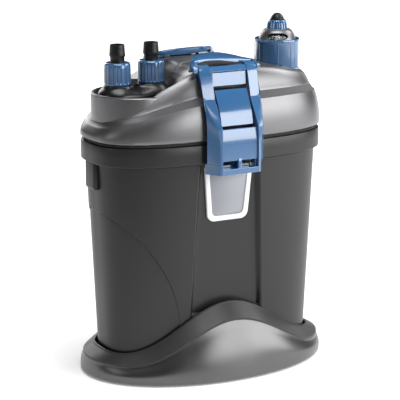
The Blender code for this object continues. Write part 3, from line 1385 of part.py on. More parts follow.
# ---- hose unit --------------------------------------------------------------------------
def hose_lobe(name, x, slot):
    profile = [(0.0, 325.6 * MM), (15.5 * MM, 325.6 * MM), (17.5 * MM, 324.0 * MM),
               (20.0 * MM, 319.5 * MM), (22.6 * MM, 318.5 * MM), (23.3 * MM, 315.0 * MM),
               (23.3 * MM, TUB_LEDGE + GAP), (0.0, TUB_LEDGE + GAP)]
    return turned(name, profile, slot, (x, 0.0, 0.0))


def make_hose_unit():
    """Two-lobed valve body that drops into the tub, with nozzles held by union nuts."""
    body = hose_lobe("hose_unit_body", NOZZLE_PLACES["inlet"], "black_plastic")
    fuse(body, hose_lobe("outlet_lobe", NOZZLE_PLACES["outlet"], None),
         box("hose_unit_waist", (-100 * MM, -15 * MM, TUB_LEDGE + GAP),
             (-66 * MM, 15 * MM, 318.6 * MM), None),
         disc("hose_unit_plug", TUB_HOLE - 3.6 * MM, 292 * MM, 303 * MM, None, (TUB_X, 0.0)))
    torus("hose_unit_seal", TUB_HOLE - 1.7 * MM, 1.4 * MM, 296 * MM, "rubber", (TUB_X, 0.0))
    for word, x in NOZZLE_PLACES.items():
        cut(body, disc(f"{word}_port", 6.4 * MM, 280 * MM, 340 * MM, None, (x, 0.0), 24))
        make_nozzle(word, x)


def make_nozzle(word, x):
    low = 325.9 * MM
    profile = [(6.0 * MM, HOSE_TOP), (7.4 * MM, HOSE_TOP), (7.9 * MM, HOSE_TOP - 1 * MM),
               (8.7 * MM, 359.5 * MM), (8.7 * MM, 357.5 * MM), (7.8 * MM, 356.0 * MM),
               (7.8 * MM, 331.0 * MM), (10.5 * MM, 331.0 * MM), (10.5 * MM, low),
               (6.0 * MM, low)]
    turned(f"{word}_nozzle", profile, "black_plastic", (x, 0.0, 0.0), ring=True, steps=20)
    profile = [(8.2 * MM, NUT_TOP), (12.6 * MM, NUT_TOP), (NUT_RADIUS - 0.4 * MM, 348.0 * MM),
               (NUT_RADIUS, 334.0 * MM), (NUT_RADIUS, NUT_BOTTOM + 0.6 * MM),
               (NUT_RADIUS - 0.6 * MM, NUT_BOTTOM), (11.0 * MM, NUT_BOTTOM),
               (11.0 * MM, 332.0 * MM), (8.2 * MM, 332.0 * MM)]
    turned(f"{word}_nut", profile, "blue_plastic", (x, 0.0, 0.0), ring=True)


def make_prefilter():
    """Slotted cage with a foam sleeve, hung under the hose unit."""
    at = (TUB_X, 0.0)
    top = 292 * MM - GAP
    profile = [(6.5 * MM, top), (30 * MM, top), (30 * MM, top - 3 * MM), (9 * MM, top - 3 * MM),
               (9 * MM, 29 * MM), (30 * MM, 29 * MM), (30 * MM, 26 * MM), (6.5 * MM, 26 * MM)]
    cage = turned("prefilter_cage", profile, "inner_grey", (*at, 0.0), ring=True, steps=24)
    for i in range(4):
        z = (70 + 50 * i) * MM
        cut(cage, box(f"prefilter_slot_{i}", (TUB_X - 12 * MM, -3 * MM, z),
                      (TUB_X + 12 * MM, 3 * MM, z + 25 * MM), None))
    tube("prefilter_foam", 29 * MM, 9 * MM + GAP, 29 * MM + GAP, top - 3 * MM - GAP,
         "foam_blue", at, 24)


# ---- heater -----------------------------------------------------------------------------
def dome_profile(shrink):
    """Outer line of the dome, drawn in by `shrink`, from the top down."""
    points = [(13.0, 371.6), (15.8, 369.9), (18.6, 367.2), (20.7, 363.9), (22.1, 359.6)]
    return [((r * MM) - shrink, z * MM) for r, z in points]


def window_cutter(name, width, height):
    """An upright oval bar from the heater's axis out through the window."""
    bm = bmesh.new()
    bmesh.ops.create_cone(bm, cap_ends=True, segments=20, radius1=1.0, radius2=1.0, depth=1.0)
    turn = Matrix.Translation((HEATER_X, 0.0, 365.2 * MM))
    turn = turn @ Matrix.Rotation(-WINDOW_HEADING, 4, "Z")
    turn = turn @ Matrix.Translation((0.0, -15 * MM, 0.0)) @ Matrix.Rotation(math.pi / 2, 4, "X")
    scale = Matrix.Diagonal((width / 2, height / 2, 28 * MM, 1.0))
    bmesh.ops.transform(bm, matrix=turn @ scale, verts=bm.verts)
    return bmesh_object(name, bm, None)


def make_heater():
    at = (HEATER_X, 0.0)
    tube("heater_collar", COLLAR_RADIUS, 23.0 * MM, COLLAR_BOTTOM, COLLAR_TOP, "blue_plastic",
         at, 40)
    head_low = 300 * MM
    profile = [(0.0, 354 * MM), (20.4 * MM, 354 * MM), (20.4 * MM, head_low), (0.0, head_low)]
    turned("heater_plug", profile, "black_plastic", (*at, 0.0))
    torus("heater_seal", 21.7 * MM, 1.0 * MM, 330 * MM, "rubber", at)
    skirt = [(22.1 * MM, 354 * MM + GAP), (20.3 * MM, 354 * MM + GAP)]
    inside = list(reversed(dome_profile(1.8 * MM)))
    dome = turned("heater_dome", dome_profile(0.0) + skirt + inside, "lid_grey", (*at, 0.0),
                  ring=True)
    cut(dome, window_cutter("window_opening", 23.6 * MM, 8.6 * MM))
    lens = turned("dial_window", dome_profile(0.2 * MM) + list(reversed(dome_profile(1.2 * MM))),
                  "glass", (*at, 0.0), ring=True)
    boolean(lens, window_cutter("window_fit", 23.0 * MM, 8.0 * MM), "INTERSECT")
    profile = [(10.9, 368.6), (14.3, 368.6), (16.2, 366.2), (18.1, 362.9), (19.4, 357.5),
               (10.9, 357.5)]
    turned("dial_drum", [(r * MM, z * MM) for r, z in profile], "drum_black", (*at, 0.0),
           ring=True)
    profile = [(4.2 * MM, 384.6 * MM), (10.2 * MM, 384.6 * MM), (10.8 * MM, 383.6 * MM),
               (12.3 * MM, 372.4 * MM), (12.0 * MM, 371.9 * MM), (10.6 * MM, 371.9 * MM),
               (10.6 * MM, 356.5 * MM), (4.2 * MM, 356.5 * MM)]
    turned("dial_knob", profile, "blue_plastic", (*at, 0.0), ring=True)
    profile = [(0.0, TOP), (5.0 * MM, TOP), (7.2 * MM, TOP - 1.2 * MM), (8.1 * MM, TOP - 4 * MM),
               (8.1 * MM, 384.9 * MM), (3.8 * MM, 384.9 * MM), (3.8 * MM, 354.4 * MM),
               (0.0, 354.4 * MM)]
    turned("heater_cable_gland", profile, "black_plastic", (*at, 0.0), steps=24)
    make_heater_tube(at, head_low)


def make_heater_tube(at, top):
    profile = [(0.0, 58.5 * MM), (7.5 * MM, 58.5 * MM), (9.0 * MM, 62 * MM), (9.0 * MM, top - GAP),
               (10.5 * MM, top - GAP), (10.5 * MM, 62 * MM), (8.5 * MM, 57 * MM),
               (0.0, 57 * MM)]
    turned("heater_tube", profile, "glass", (*at, 0.0), steps=24)
    disc("heating_element", 6 * MM, 66 * MM, 290 * MM, "steel", at, 16)


# ---- media baskets ----------------------------------------------------------------------
BASKET_MIDDLE = 19 * MM
BASKET_HALF = (58 * MM, 46.5 * MM)
BASKET_HEIGHT = 60 * MM
BASKET_PITCH = 62.5 * MM
BASKET_FIRST = 15 * MM
BASKET_POWER = 5.0


def basket_ring(half, z):
    return [(x + BASKET_MIDDLE, y, z) for x, y in outline(half, BASKET_POWER, 44 * MM)]


def make_baskets():
    fillings = ("foam_blue", "foam_black", "ceramic")
    for i, filling in enumerate(fillings):
        low = BASKET_FIRST + i * BASKET_PITCH
        high = low + BASKET_HEIGHT
        inside = grown(BASKET_HALF, -2 * MM)
        floor = low + 2 * MM
        basket = loft(f"media_basket_{i + 1}", [
            basket_ring(grown(BASKET_HALF, -1.5 * MM), low), basket_ring(BASKET_HALF, low + 3 * MM),
            basket_ring(BASKET_HALF, high), basket_ring(inside, high),
            basket_ring(inside, floor)], "inner_grey")
        for k in range(5):
            x = BASKET_MIDDLE + (k - 2) * 20 * MM
            cut(basket, box(f"basket_{i + 1}_slot_{k}", (x - 4 * MM, -34 * MM, low - 5 * MM),
                            (x + 4 * MM, 34 * MM, low + 8 * MM), None))
        media = grown(inside, -GAP)
        loft(f"media_block_{i + 1}", [basket_ring(media, floor + GAP),
                                      basket_ring(media, floor + 45 * MM)], filling)


make_foot()
make_container()
make_badge()
make_baskets()
make_lid()
make_lid_fittings()
make_head_plate()
make_pump()
for sign, place_word in ((-1, "front"), (1, "rear")):
    make_clip(sign, place_word)
    make_handle(sign, place_word)
make_hose_unit()
make_prefilter()
make_heater()
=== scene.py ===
"""Looks for the external canister filter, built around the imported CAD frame.

Metres, +Z up. +X is the heater end, -X the hose end and -Y the front.
"""

import json
import math

import bmesh
import bpy
import numpy as np
from mathutils import Matrix, Vector


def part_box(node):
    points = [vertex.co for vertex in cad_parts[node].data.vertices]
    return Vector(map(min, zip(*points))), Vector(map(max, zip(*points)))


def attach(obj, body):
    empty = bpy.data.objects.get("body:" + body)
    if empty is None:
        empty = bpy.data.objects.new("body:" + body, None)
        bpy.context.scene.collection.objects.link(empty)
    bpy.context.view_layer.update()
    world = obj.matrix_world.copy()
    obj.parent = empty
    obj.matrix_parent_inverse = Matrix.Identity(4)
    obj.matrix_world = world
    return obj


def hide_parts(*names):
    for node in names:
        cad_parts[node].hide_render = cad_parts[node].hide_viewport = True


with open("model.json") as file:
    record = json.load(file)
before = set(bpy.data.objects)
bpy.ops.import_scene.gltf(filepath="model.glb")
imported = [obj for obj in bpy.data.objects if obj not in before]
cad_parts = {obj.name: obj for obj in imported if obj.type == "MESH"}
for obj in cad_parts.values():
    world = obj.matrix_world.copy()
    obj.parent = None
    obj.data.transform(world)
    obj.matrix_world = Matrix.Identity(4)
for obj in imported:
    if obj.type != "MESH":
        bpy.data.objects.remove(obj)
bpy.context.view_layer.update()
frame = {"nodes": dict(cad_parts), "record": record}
NODES = frame["nodes"]
MM = 0.001
WALL = 3 * MM   # of the foot, the container and the lid


# ---- node materials ----
class Nodes:
    """Small helper around one material's node tree."""

    def __init__(self, name):
        self.material = bpy.data.materials.new(name)
        self.material.use_nodes = True
        self.tree = self.material.node_tree
        self.shader = self.tree.nodes["Principled BSDF"]
        self.where = self.add("ShaderNodeTexCoord").outputs["Object"]

    def add(self, kind, **values):
        node = self.tree.nodes.new(kind)
        for key, value in values.items():
            if hasattr(node, key):
                setattr(node, key, value)
            else:
                node.inputs[key.replace("_", " ")].default_value = value
        return node

    def join(self, source, target):
        self.tree.links.new(source, target)

    def noise(self, scale, detail=3.0, stretch=None):
        node = self.add("ShaderNodeTexNoise", Scale=scale, Detail=detail, Roughness=0.55)
        if stretch:
            mapping = self.add("ShaderNodeMapping")
            mapping.inputs["Scale"].default_value = stretch
            self.join(self.where, mapping.inputs["Vector"])
            self.join(mapping.outputs["Vector"], node.inputs["Vector"])
        else:
            self.join(self.where, node.inputs["Vector"])
        return node.outputs["Fac"]

    def spread(self, source, low, high, start=0.25, end=0.75):
        node = self.add("ShaderNodeMapRange")
        for key, value in (("From Min", start), ("From Max", end), ("To Min", low),
                           ("To Max", high)):
            node.inputs[key].default_value = value
        self.join(source, node.inputs["Value"])
        return node.outputs["Result"]

    def mixed(self, factor, first, second):
        node = self.add("ShaderNodeMix", data_type="RGBA")
        for socket, value in ((node.inputs[0], factor), (node.inputs[6], first),
                              (node.inputs[7], second)):
            if isinstance(value, bpy.types.NodeSocket):
                self.join(value, socket)
            elif isinstance(value, tuple):
                socket.default_value = (*value, 1.0)
            else:
                socket.default_value = value
        return node.outputs[2]

    def math(self, operation, first, second):
        node = self.add("ShaderNodeMath", operation=operation)
        self.join(first, node.inputs[0])
        self.join(second, node.inputs[1])
        return node.outputs[0]

    def bump(self, height, distance, strength=1.0, before=None):
        node = self.add("ShaderNodeBump", Strength=strength, Distance=distance)
        self.join(height, node.inputs["Height"])
        if before is not None:
            self.join(before, node.inputs["Normal"])
        return node.outputs["Normal"]

    def set(self, key, value):
        socket = self.shader.inputs[key]
        if isinstance(value, bpy.types.NodeSocket):
            self.join(value, socket)
        else:
            socket.default_value = (*value, 1.0) if isinstance(value, tuple) else value


def shade(colour, factor):
    return tuple(min(1.0, c * factor) for c in colour)


def plastic(name, colour, roughness, grain=0.3, coat=0.0, metallic=0.0, wear_and_sheen=0.25, specular=0.5,
            ripple=0.08, ior=1.5):
    """Moulded plastic: cloudy colour, fine spark-eroded grain, handling marks, and paler edges that
    are partly rubbed wear and partly a painted highlight.
    """
    n = Nodes(name)
    cloud = n.noise(17.0, 4.0)
    base = n.mixed(cloud, shade(colour, 0.9), shade(colour, 1.1))
    edge = n.add("ShaderNodeNewGeometry").outputs["Pointiness"]
    # sharp edges painted paler: partly rubbed wear, partly a painted highlight
    edge_wear_and_highlight = n.spread(edge, 0.0, wear_and_sheen, 0.51, 0.58)
    n.set("Base Color", n.mixed(edge_wear_and_highlight, base, shade(colour, 1.9)))
    smear = n.noise(38.0, 5.0, (1.0, 1.0, 0.25))
    n.set("Roughness", n.spread(smear, roughness * 0.88, min(1.0, roughness * 1.14)))
    fine = n.bump(n.noise(1500.0, 2.0), 0.00006, grain)
    n.set("Normal", n.bump(n.noise(60.0, 2.0), 0.0003, ripple, fine))
    n.set("Metallic", metallic)
    n.set("IOR", ior)
    n.set("Specular IOR Level", specular)
    n.set("Coat Weight", coat)
    n.set("Coat Roughness", 0.05)
    return n.material


def band(name, colour, roughness, start, end):
    """The lid's band, matt and painted darker for the shade in its groove, which takes on the lid's
    satin finish toward the hose end.

    The finish and the painted shade change between the places `start` and `end` along X.
    """
    n = Nodes(name)
    place = n.add("ShaderNodeSeparateXYZ")
    n.join(n.where, place.inputs[0])
    share = n.spread(place.outputs["X"], 0.0, 1.0, start, end)
    grain = n.noise(1500.0, 2.0)
    # darker colour painted as the shade in the band's groove
    painted_shade = n.mixed(grain, shade(colour, 0.85), shade(colour, 1.15))
    n.set("Base Color", n.mixed(share, LID, painted_shade))
    n.set("Roughness", n.spread(share, 0.35, roughness, 0.0, 1.0))
    n.set("Metallic", n.spread(share, 0.85, 0.0, 0.0, 1.0))
    n.set("Specular IOR Level", 0.25)
    n.set("Normal", n.bump(grain, 0.00006, 0.5))
    return n.material


def rubber(name, colour):
    """Dull sealing rubber with a fine pitted skin."""
    n = Nodes(name)
    n.set("Base Color", n.mixed(n.noise(120.0), shade(colour, 0.8), shade(colour, 1.5)))
    n.set("Roughness", n.spread(n.noise(300.0), 0.62, 0.85))
    n.set("Normal", n.bump(n.noise(900.0, 3.0), 0.0001, 0.5))
    return n.material


def brushed(name, colour, roughness, along=(1.0, 1.0, 40.0), metallic=1.0):
    """Metal or foil with fine lines; `along` stretches the lines' noise."""
    n = Nodes(name)
    lines = n.noise(220.0, 4.0, along)
    n.set("Base Color", n.mixed(lines, shade(colour, 0.93), shade(colour, 1.05)))
    n.set("Roughness", n.spread(lines, roughness * 0.8, roughness * 1.25))
    n.set("Normal", n.bump(lines, 0.00004, 0.35))
    n.set("Metallic", metallic)
    return n.material


def foam(name, colour, cell=420.0):
    """Open-cell foam: pale struts, with painted shade darkening the pores between them."""
    n = Nodes(name)
    cells = n.add("ShaderNodeTexVoronoi", Scale=cell, feature="DISTANCE_TO_EDGE")
    n.join(n.where, cells.inputs["Vector"])
    strut = n.spread(cells.outputs["Distance"], 1.0, 0.0, 0.02, 0.3)
    # the pores' darkness is painted shade
    n.set("Base Color", n.mixed(strut, shade(colour, 0.18), shade(colour, 1.25)))
    n.set("Roughness", 0.95)
    n.set("Normal", n.bump(strut, 0.0012, 0.9))
    return n.material


def ceramic(name, colour):
    """A bed of small rough ceramic pieces, with painted shade darkening the gaps between them."""
    n = Nodes(name)
    cells = n.add("ShaderNodeTexVoronoi", Scale=95.0)
    n.join(n.where, cells.inputs["Vector"])
    tone = n.spread(cells.outputs["Color"], 0.55, 1.0, 0.0, 1.0)
    gap = n.spread(cells.outputs["Distance"], 1.0, 0.15, 0.35, 0.75)
    body = n.mixed(tone, shade(colour, 0.7), colour)
    # the gaps between the pieces are painted in shade
    n.set("Base Color", n.mixed(gap, shade(colour, 0.12), body))
    n.set("Roughness", 0.85)
    n.set("Normal", n.bump(gap, 0.003, 0.9, n.bump(n.noise(900.0), 0.0002, 0.6)))
    return n.material


def clear(name, tint, roughness=0.04):
    """Drawn glass, slightly uneven in tone and polish."""
    n = Nodes(name)
    n.set("Base Color", n.mixed(n.noise(30.0), shade(tint, 0.97), tint))
    n.set("Roughness", n.spread(n.noise(90.0), roughness, roughness * 2))
    n.set("Transmission Weight", 1.0)
    n.set("IOR", 1.45)
    return n.material


SHELL = (0.0145, 0.0145, 0.0155)
LID = (0.170, 0.170, 0.175)
BLUE = (0.030, 0.100, 0.225)
BLACK = (0.006, 0.006, 0.007)
PAINT = {   # the record's slots, and a few finishes of single pieces
    "dark_shell": plastic("shell_plastic", SHELL, 0.38, 0.35, specular=0.4),
    "foot_shell": plastic("foot_plastic", SHELL, 0.31, 0.1, specular=1.0, wear_and_sheen=0.0, ripple=0.0,
                          ior=1.6),
    "shoulder_shell": plastic("shoulder_plastic", SHELL, 0.44, 0.2, specular=0.5, wear_and_sheen=0.1,
                              ripple=0.0),
    "lid_grey": plastic("lid_plastic", LID, 0.35, 0.2, metallic=0.85),
    # the band's darker colour is painted shade for its groove; its roughness is the matt finish
    "band_grey": band("band_painted_shade", (0.080, 0.080, 0.084), 0.7, -0.118, -0.084),
    "blue_plastic": plastic("blue_gloss", BLUE, 0.14, 0.06, coat=0.6, specular=0.9, wear_and_sheen=0.35),
    "black_plastic": plastic("black_gloss", BLACK, 0.30, 0.06, wear_and_sheen=0.0, ripple=0.0),
    "black_satin": plastic("black_satin", BLACK, 0.38, 0.2, wear_and_sheen=0.1, specular=0.32, ripple=0.03),
    "rubber": rubber("seal_rubber", (0.010, 0.010, 0.010)),
    "badge_white": plastic("badge_rim", (0.80, 0.81, 0.83), 0.3, 0.05, wear_and_sheen=0.0),
    "badge_grey": brushed("badge_foil", (0.30, 0.31, 0.335), 0.5, (1.0, 1.0, 30.0), 0.2),
    "steel": brushed("pin_steel", (0.60, 0.60, 0.59), 0.25),
    "glass": clear("clear_glass", (0.86, 0.92, 0.95)),
    "drum_black": plastic("drum_plastic", (0.012, 0.012, 0.015), 0.40, 0.15),
    "inner_grey": plastic("inner_plastic", (0.22, 0.23, 0.24), 0.48, 0.3),
    "foam_blue": foam("coarse_foam", (0.06, 0.22, 0.45)),
    "foam_black": foam("fine_foam", (0.05, 0.05, 0.055), 700.0),
    "ceramic": ceramic("ceramic_bed", (0.72, 0.68, 0.60)),
    "magnet": brushed("magnet_ferrite", (0.06, 0.06, 0.065), 0.45, (1.0, 1.0, 12.0), 0.7),
    "numeral": plastic("numeral_white", (0.82, 0.84, 0.86), 0.45, 0.05, wear_and_sheen=0.0),
}

for entry in frame["record"]["subparts"]:
    node = NODES[entry["node"]]
    node.data.materials.clear()
    node.data.materials.append(PAINT[entry["material_slot"]])
# the hinge pins are painted black so that the hole in each loop reads as shade
for name in ("front_hinge_pin", "rear_hinge_pin"):
    NODES[name].data.materials[0] = PAINT["drum_black"]


# ---- mesh helpers ----
def in_mm(points):
    return [(a * MM, b * MM) for a, b in points]


def across(x, side, section):
    """A section of (distance, height) in mm, set up at x on the front (-1) or rear (1)."""
    return [(x * MM, side * y * MM, z * MM) for y, z in section]


def placed(name, data):
    """A new object in the scene."""
    item = bpy.data.objects.new(name, data)
    bpy.context.scene.collection.objects.link(item)
    return item


def finished(name, bm):
    """An object from a bmesh, which is freed."""
    mesh = bpy.data.meshes.new(name)
    bm.to_mesh(mesh)
    bm.free()
    return placed(name, mesh)


def soften(mesh, angle):
    """Smooth shading, with edges sharper than `angle` degrees kept crisp."""
    bm = bmesh.new()
    bm.from_mesh(mesh)
    limit = math.radians(angle)
    for face in bm.faces:
        face.smooth = True
    for edge in bm.edges:
        edge.smooth = len(edge.link_faces) == 2 and edge.calc_face_angle(0.0) < limit
    bm.to_mesh(mesh)
    bm.free()


def build(name, verts, faces, tints=None):
    """A bare object from points and faces; `tints` gives each face's material index."""
    bm = bmesh.new()
    points = [bm.verts.new(v) for v in verts]
    for i, face in enumerate(faces):
        made = bm.faces.new([points[k] for k in face])
        made.material_index = tints[i] if tints else 0
    bmesh.ops.recalc_face_normals(bm, faces=bm.faces)
    return finished(name, bm)


def loft(name, rings, closed=False, tinted=()):
    """A skin through rings of equal point counts, with flat ends or joined round.

    The faces between a ring listed in `tinted` and the next take the second material.
    """
    count = len(rings[0])
    verts = [p for ring in rings for p in ring]
    faces, tints = [], []
    spans = len(rings) if closed else len(rings) - 1
    for r in range(spans):
        low, high = r * count, (r + 1) % len(rings) * count
        for i in range(count):
            j = (i + 1) % count
            faces.append((low + i, low + j, high + j, high + i))
            tints.append(int(r in tinted))
    if not closed:
        last = (len(rings) - 1) * count
        faces += [tuple(range(count)), tuple(range(last, last + count))]
        tints += [0, 0]
    return build(name, verts, faces, tints)


def turned(name, profile, at=(0.0, 0.0), steps=64, ring=False, wobble=None):
    """A profile of (radius, height) in metres turned about Z.

    `wobble` tells how far the wall draws in at an angle and height, for flutes and ribs.
    """
    verts, index = [], []
    for radius, height in profile:
        if radius < 1e-6:
            index.append([len(verts)] * steps)
            verts.append((at[0], at[1], height))
            continue
        row = []
        for i in range(steps):
            angle = 2 * math.pi * i / steps
            r = radius - (wobble(angle, radius, height) if wobble else 0.0)
            row.append(len(verts))
            verts.append((at[0] + r * math.cos(angle), at[1] + r * math.sin(angle), height))
        index.append(row)
    faces = []
    rows = list(zip(index, index[1:])) + ([(index[-1], index[0])] if ring else [])
    for low, high in rows:
        for i in range(steps):
            j = (i + 1) % steps
            corner = []
            for k in (low[i], low[j], high[j], high[i]):
                if k not in corner:
                    corner.append(k)
            if len(corner) > 2:
                faces.append(tuple(corner))
    return build(name, verts, faces)


def box(name, low, high):
    """A block between two corners, for rounding."""
    bm = bmesh.new()
    bmesh.ops.create_cube(bm, size=1.0)
    size, middle = Vector(high) - Vector(low), (Vector(high) + Vector(low)) / 2
    bm.transform(Matrix.Translation(middle) @ Matrix.Diagonal((*size, 1.0)))
    return finished(name, bm)


def applied(item):
    """Bakes the modifiers into the mesh."""
    graph = bpy.context.evaluated_depsgraph_get()
    mesh = bpy.data.meshes.new_from_object(item.evaluated_get(graph))
    item.modifiers.clear()
    item.data = mesh
    return item


def boolean(item, tool, operation="DIFFERENCE"):
    step = item.modifiers.new("boolean", "BOOLEAN")
    step.operation, step.solver, step.object = operation, "EXACT", tool
    applied(item)
    bpy.data.objects.remove(tool)


def rounded(item, width, segments=2, angle=30):
    """Rounds the edges that are sharper than `angle` degrees."""
    step = item.modifiers.new("rounding", "BEVEL")
    step.width, step.segments, step.limit_method = width, segments, "ANGLE"
    step.angle_limit = math.radians(angle)
    return applied(item)


def dress(item, body, slot, replaces=(), angle=35, extra=()):
    """Material from the record's slot, shading and body of a finished piece; hides the CAD parts it
    replaces.

    `extra` names the materials after the first, for a piece with tinted faces.
    """
    tints = [face.material_index for face in item.data.polygons]
    item.data.materials.clear()
    for name in (slot, *extra):
        item.data.materials.append(PAINT[name])
    item.data.polygons.foreach_set("material_index", tints if extra else [0] * len(tints))
    soften(item.data, angle)
    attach(item, body)
    if replaces:
        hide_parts(*replaces)
    return item


def curve_through(points):
    """A smooth function through (x, z) points."""
    xs, zs = np.array(points, float).T
    slopes = np.gradient(zs, xs)

    def value(x):
        x = min(max(x, xs[0]), xs[-1])
        i = min(int(np.searchsorted(xs, x, side="right")) - 1, len(xs) - 2)
        span = xs[i + 1] - xs[i]
        t = (x - xs[i]) / span
        near, far = 1 - 3 * t * t + 2 * t ** 3, 3 * t * t - 2 * t ** 3
        lean = span * (t * (1 - t) ** 2 * slopes[i] - t * t * (1 - t) * slopes[i + 1])
        return float(near * zs[i] + far * zs[i + 1] + lean)
    return value


def blend(low, high, t):
    return low + (high - low) * t


def grown(half, amount):
    return half[0] + amount, half[1] + amount


# ---- outlines ----
def around(turn, half, power):
    """A point on a superellipse: turn runs from 0 at +X to pi at -X."""
    c, s = math.cos(turn), math.sin(turn)
    return (math.copysign(half[0] * abs(c) ** (2 / power), c), half[1] * abs(s) ** (2 / power))


def turn_at(x, half, power):
    """The turn at which the superellipse passes x."""
    share = min(1.0, abs(x) / half[0]) ** (power / 2)
    return math.acos(math.copysign(share, x))


def both_sides(front):
    """A full ring from the front run (+X end to -X end), mirrored for the rear."""
    rear = [(x, -y) for x, y in reversed(front[1:-1])]
    return [(x, -y) for x, y in front] + [(x, -y) for x, y in rear]


# ---- container ----
BODY_POWER = 2.8
BODY_LOW, BODY_HIGH = (125.7 * MM, 59.0 * MM), (134.2 * MM, 67.2 * MM)
BODY_SPAN = (40 * MM, 235 * MM)
RIM, RIM_MOUTH = (139.7 * MM, 71.5 * MM), (131.2 * MM, 64.2 * MM)
RIM_SPAN = (243.3 * MM, 264.7 * MM)
PANEL_DEPTH = 6 * MM
PANEL_SLOPE = 3.5 * MM
PANEL_END = 72 * MM
PANEL_WALL = [   # place across the panel's side wall in mm and share of its depth
    (1.4, 0.01), (0.9, 0.03), (0.4, 0.07), (-0.1, 0.13), (-0.6, 0.22), (-1.1, 0.34),
    (-1.6, 0.48), (-2.1, 0.62), (-2.6, 0.75), (-3.1, 0.86), (-3.6, 0.94), (-4.1, 0.985)]
CREASE_STEP = 1.0 * MM
CREASE_TOP = 188.5 * MM
crease_x = curve_through(in_mm([   # height, place along X
    (40, -53.5), (62, -56.5), (79, -60), (103, -67), (122, -76), (140, -87), (158, -100),
    (171, -112.5), (183, -126), (188.5, -132.8)]))


def body_half(z):
    t = (z - BODY_SPAN[0]) / (BODY_SPAN[1] - BODY_SPAN[0])
    return tuple(blend(a, b, t) for a, b in zip(BODY_LOW, BODY_HIGH))


def panel_half(z):
    """Half width of the middle panel, which narrows upward."""
    return blend(44.5 * MM, 37.5 * MM, (z - 75 * MM) / (156 * MM))


def body_ring(z, half, depth=0.0, step=0.0):
    """One ring of the container.

    The middle panel lies `depth` deep, the end beyond the arched crease `step` deep.
    """
    edge = panel_half(z)
    crease = max(crease_x(z), -half[0] + 1.2 * MM)
    start = turn_at(edge + 2.0 * MM, half, BODY_POWER)
    front = [around(t, half, BODY_POWER) for t in np.linspace(0.0, start, 40)]
    near = around(turn_at(edge, half, BODY_POWER), half, BODY_POWER)[1]
    deep = half[1] - depth if depth else near
    wall = [(edge + spread * MM, blend(near, deep, share)) for spread, share in PANEL_WALL]
    floor_edge = edge - PANEL_SLOPE - 1.2 * MM
    floor = [(x, deep) for x in np.linspace(floor_edge, 0.0, 6)]
    middle = wall + floor
    front += middle + [(-x, y) for x, y in reversed(middle[:-1])]
    leave = turn_at(-edge - 2.0 * MM, half, BODY_POWER)
    fold = turn_at(crease, half, BODY_POWER)
    gap = 0.45 * MM / half[0] * math.pi / 2
    front += [around(t, half, BODY_POWER) for t in np.linspace(leave, fold - gap, 26)]
    low = grown(half, -step)
    front += [around(t, low, BODY_POWER) for t in np.linspace(fold + gap, math.pi, 30)]
    return [(x, y, z) for x, y in both_sides(front)]


def make_container():
    rim_low, rim_high = RIM_SPAN
    closed = PANEL_END - PANEL_DEPTH
    rings = [body_ring(10.3 * MM, grown(body_half(0.0103), -2.5 * MM)),
             body_ring(12.8 * MM, body_half(0.0128), 0.0, CREASE_STEP),
             body_ring(closed, body_half(closed), 0.0, CREASE_STEP)]
    heights = [PANEL_END] + list(np.arange(78 * MM, CREASE_TOP - 2 * MM, 5.5 * MM))
    heights += [CREASE_TOP - 1.4 * MM, CREASE_TOP - 0.5 * MM]
    rings += [body_ring(z, body_half(z), PANEL_DEPTH, CREASE_STEP) for z in heights]
    for z in (CREASE_TOP + 0.2 * MM, 196 * MM, 208 * MM, 221 * MM, 235 * MM, 241.6 * MM):
        rings.append(body_ring(z, body_half(z), PANEL_DEPTH))
    for base, rise, inset in ((rim_low, -0.6, 2.4), (rim_low, 0.0, 1.2), (rim_low, 0.3, 0.4),
                              (rim_low, 1.0, 0.0), (254 * MM, 0.0, -0.1), (rim_high, -1.2, 0.0),
                              (rim_high, -0.4, 0.4), (rim_high, 0.0, 1.2)):
        rings.append(body_ring(base + rise * MM, grown(RIM, -inset * MM)))
    for z, half in ((rim_high, grown(RIM_MOUTH, 0.6 * MM)), (rim_high - 0.6 * MM, RIM_MOUTH),
                    (rim_low + 4 * MM, RIM_MOUTH)):
        rings.append(body_ring(z, half))
    for z in (238 * MM, 190 * MM, 130 * MM, PANEL_END):
        rings.append(body_ring(z, grown(body_half(z), -WALL), PANEL_DEPTH))
    rings.append(body_ring(14 * MM, grown(body_half(0.014), -3.5 * MM), PANEL_DEPTH))
    dress(loft("container_body", rings), "base", "dark_shell", ("container",), 28)
    for side, word in ((-1, "left"), (1, "right")):
        xs = sorted((side * 131 * MM, side * 139 * MM))
        lug = box(f"container_lug_{word}", (xs[0], -12 * MM, 213 * MM),
                  (xs[1], 12 * MM, rim_low + 2 * MM))
        dress(rounded(lug, 3.2 * MM, 4), "base", "dark_shell", (), 40)


make_container()


# ---- foot ----
FOOT_HALF = (146 * MM, 98 * MM)
FOOT_POWER = 2.06
FOOT_BAND = (143.5 * MM, 92.0 * MM)
WAVE_HALF = 125 * MM
SKIRT_BULGE = 3.0 * MM
SHOULDER_ROWS = range(22, 60)   # the rows of the foot's skin from the band inward


def wave(x):
    """The swell in the middle of each long side, from 0 at its ends to 1."""
    return 0.5 * (1 + math.cos(math.pi * min(abs(x) / WAVE_HALF, 1.0)))


def foot_ring(half, power, height, rise=0.0, draw_in=0.0):
    """A ring whose height climbs by `rise` along the wave and whose sides draw in."""
    turns = np.linspace(0.0, math.pi, 121)
    ring = both_sides([around(t, half, power) for t in turns])
    return [(x, y * (1 - draw_in * wave(x)), height + rise * wave(x)) for x, y in ring]


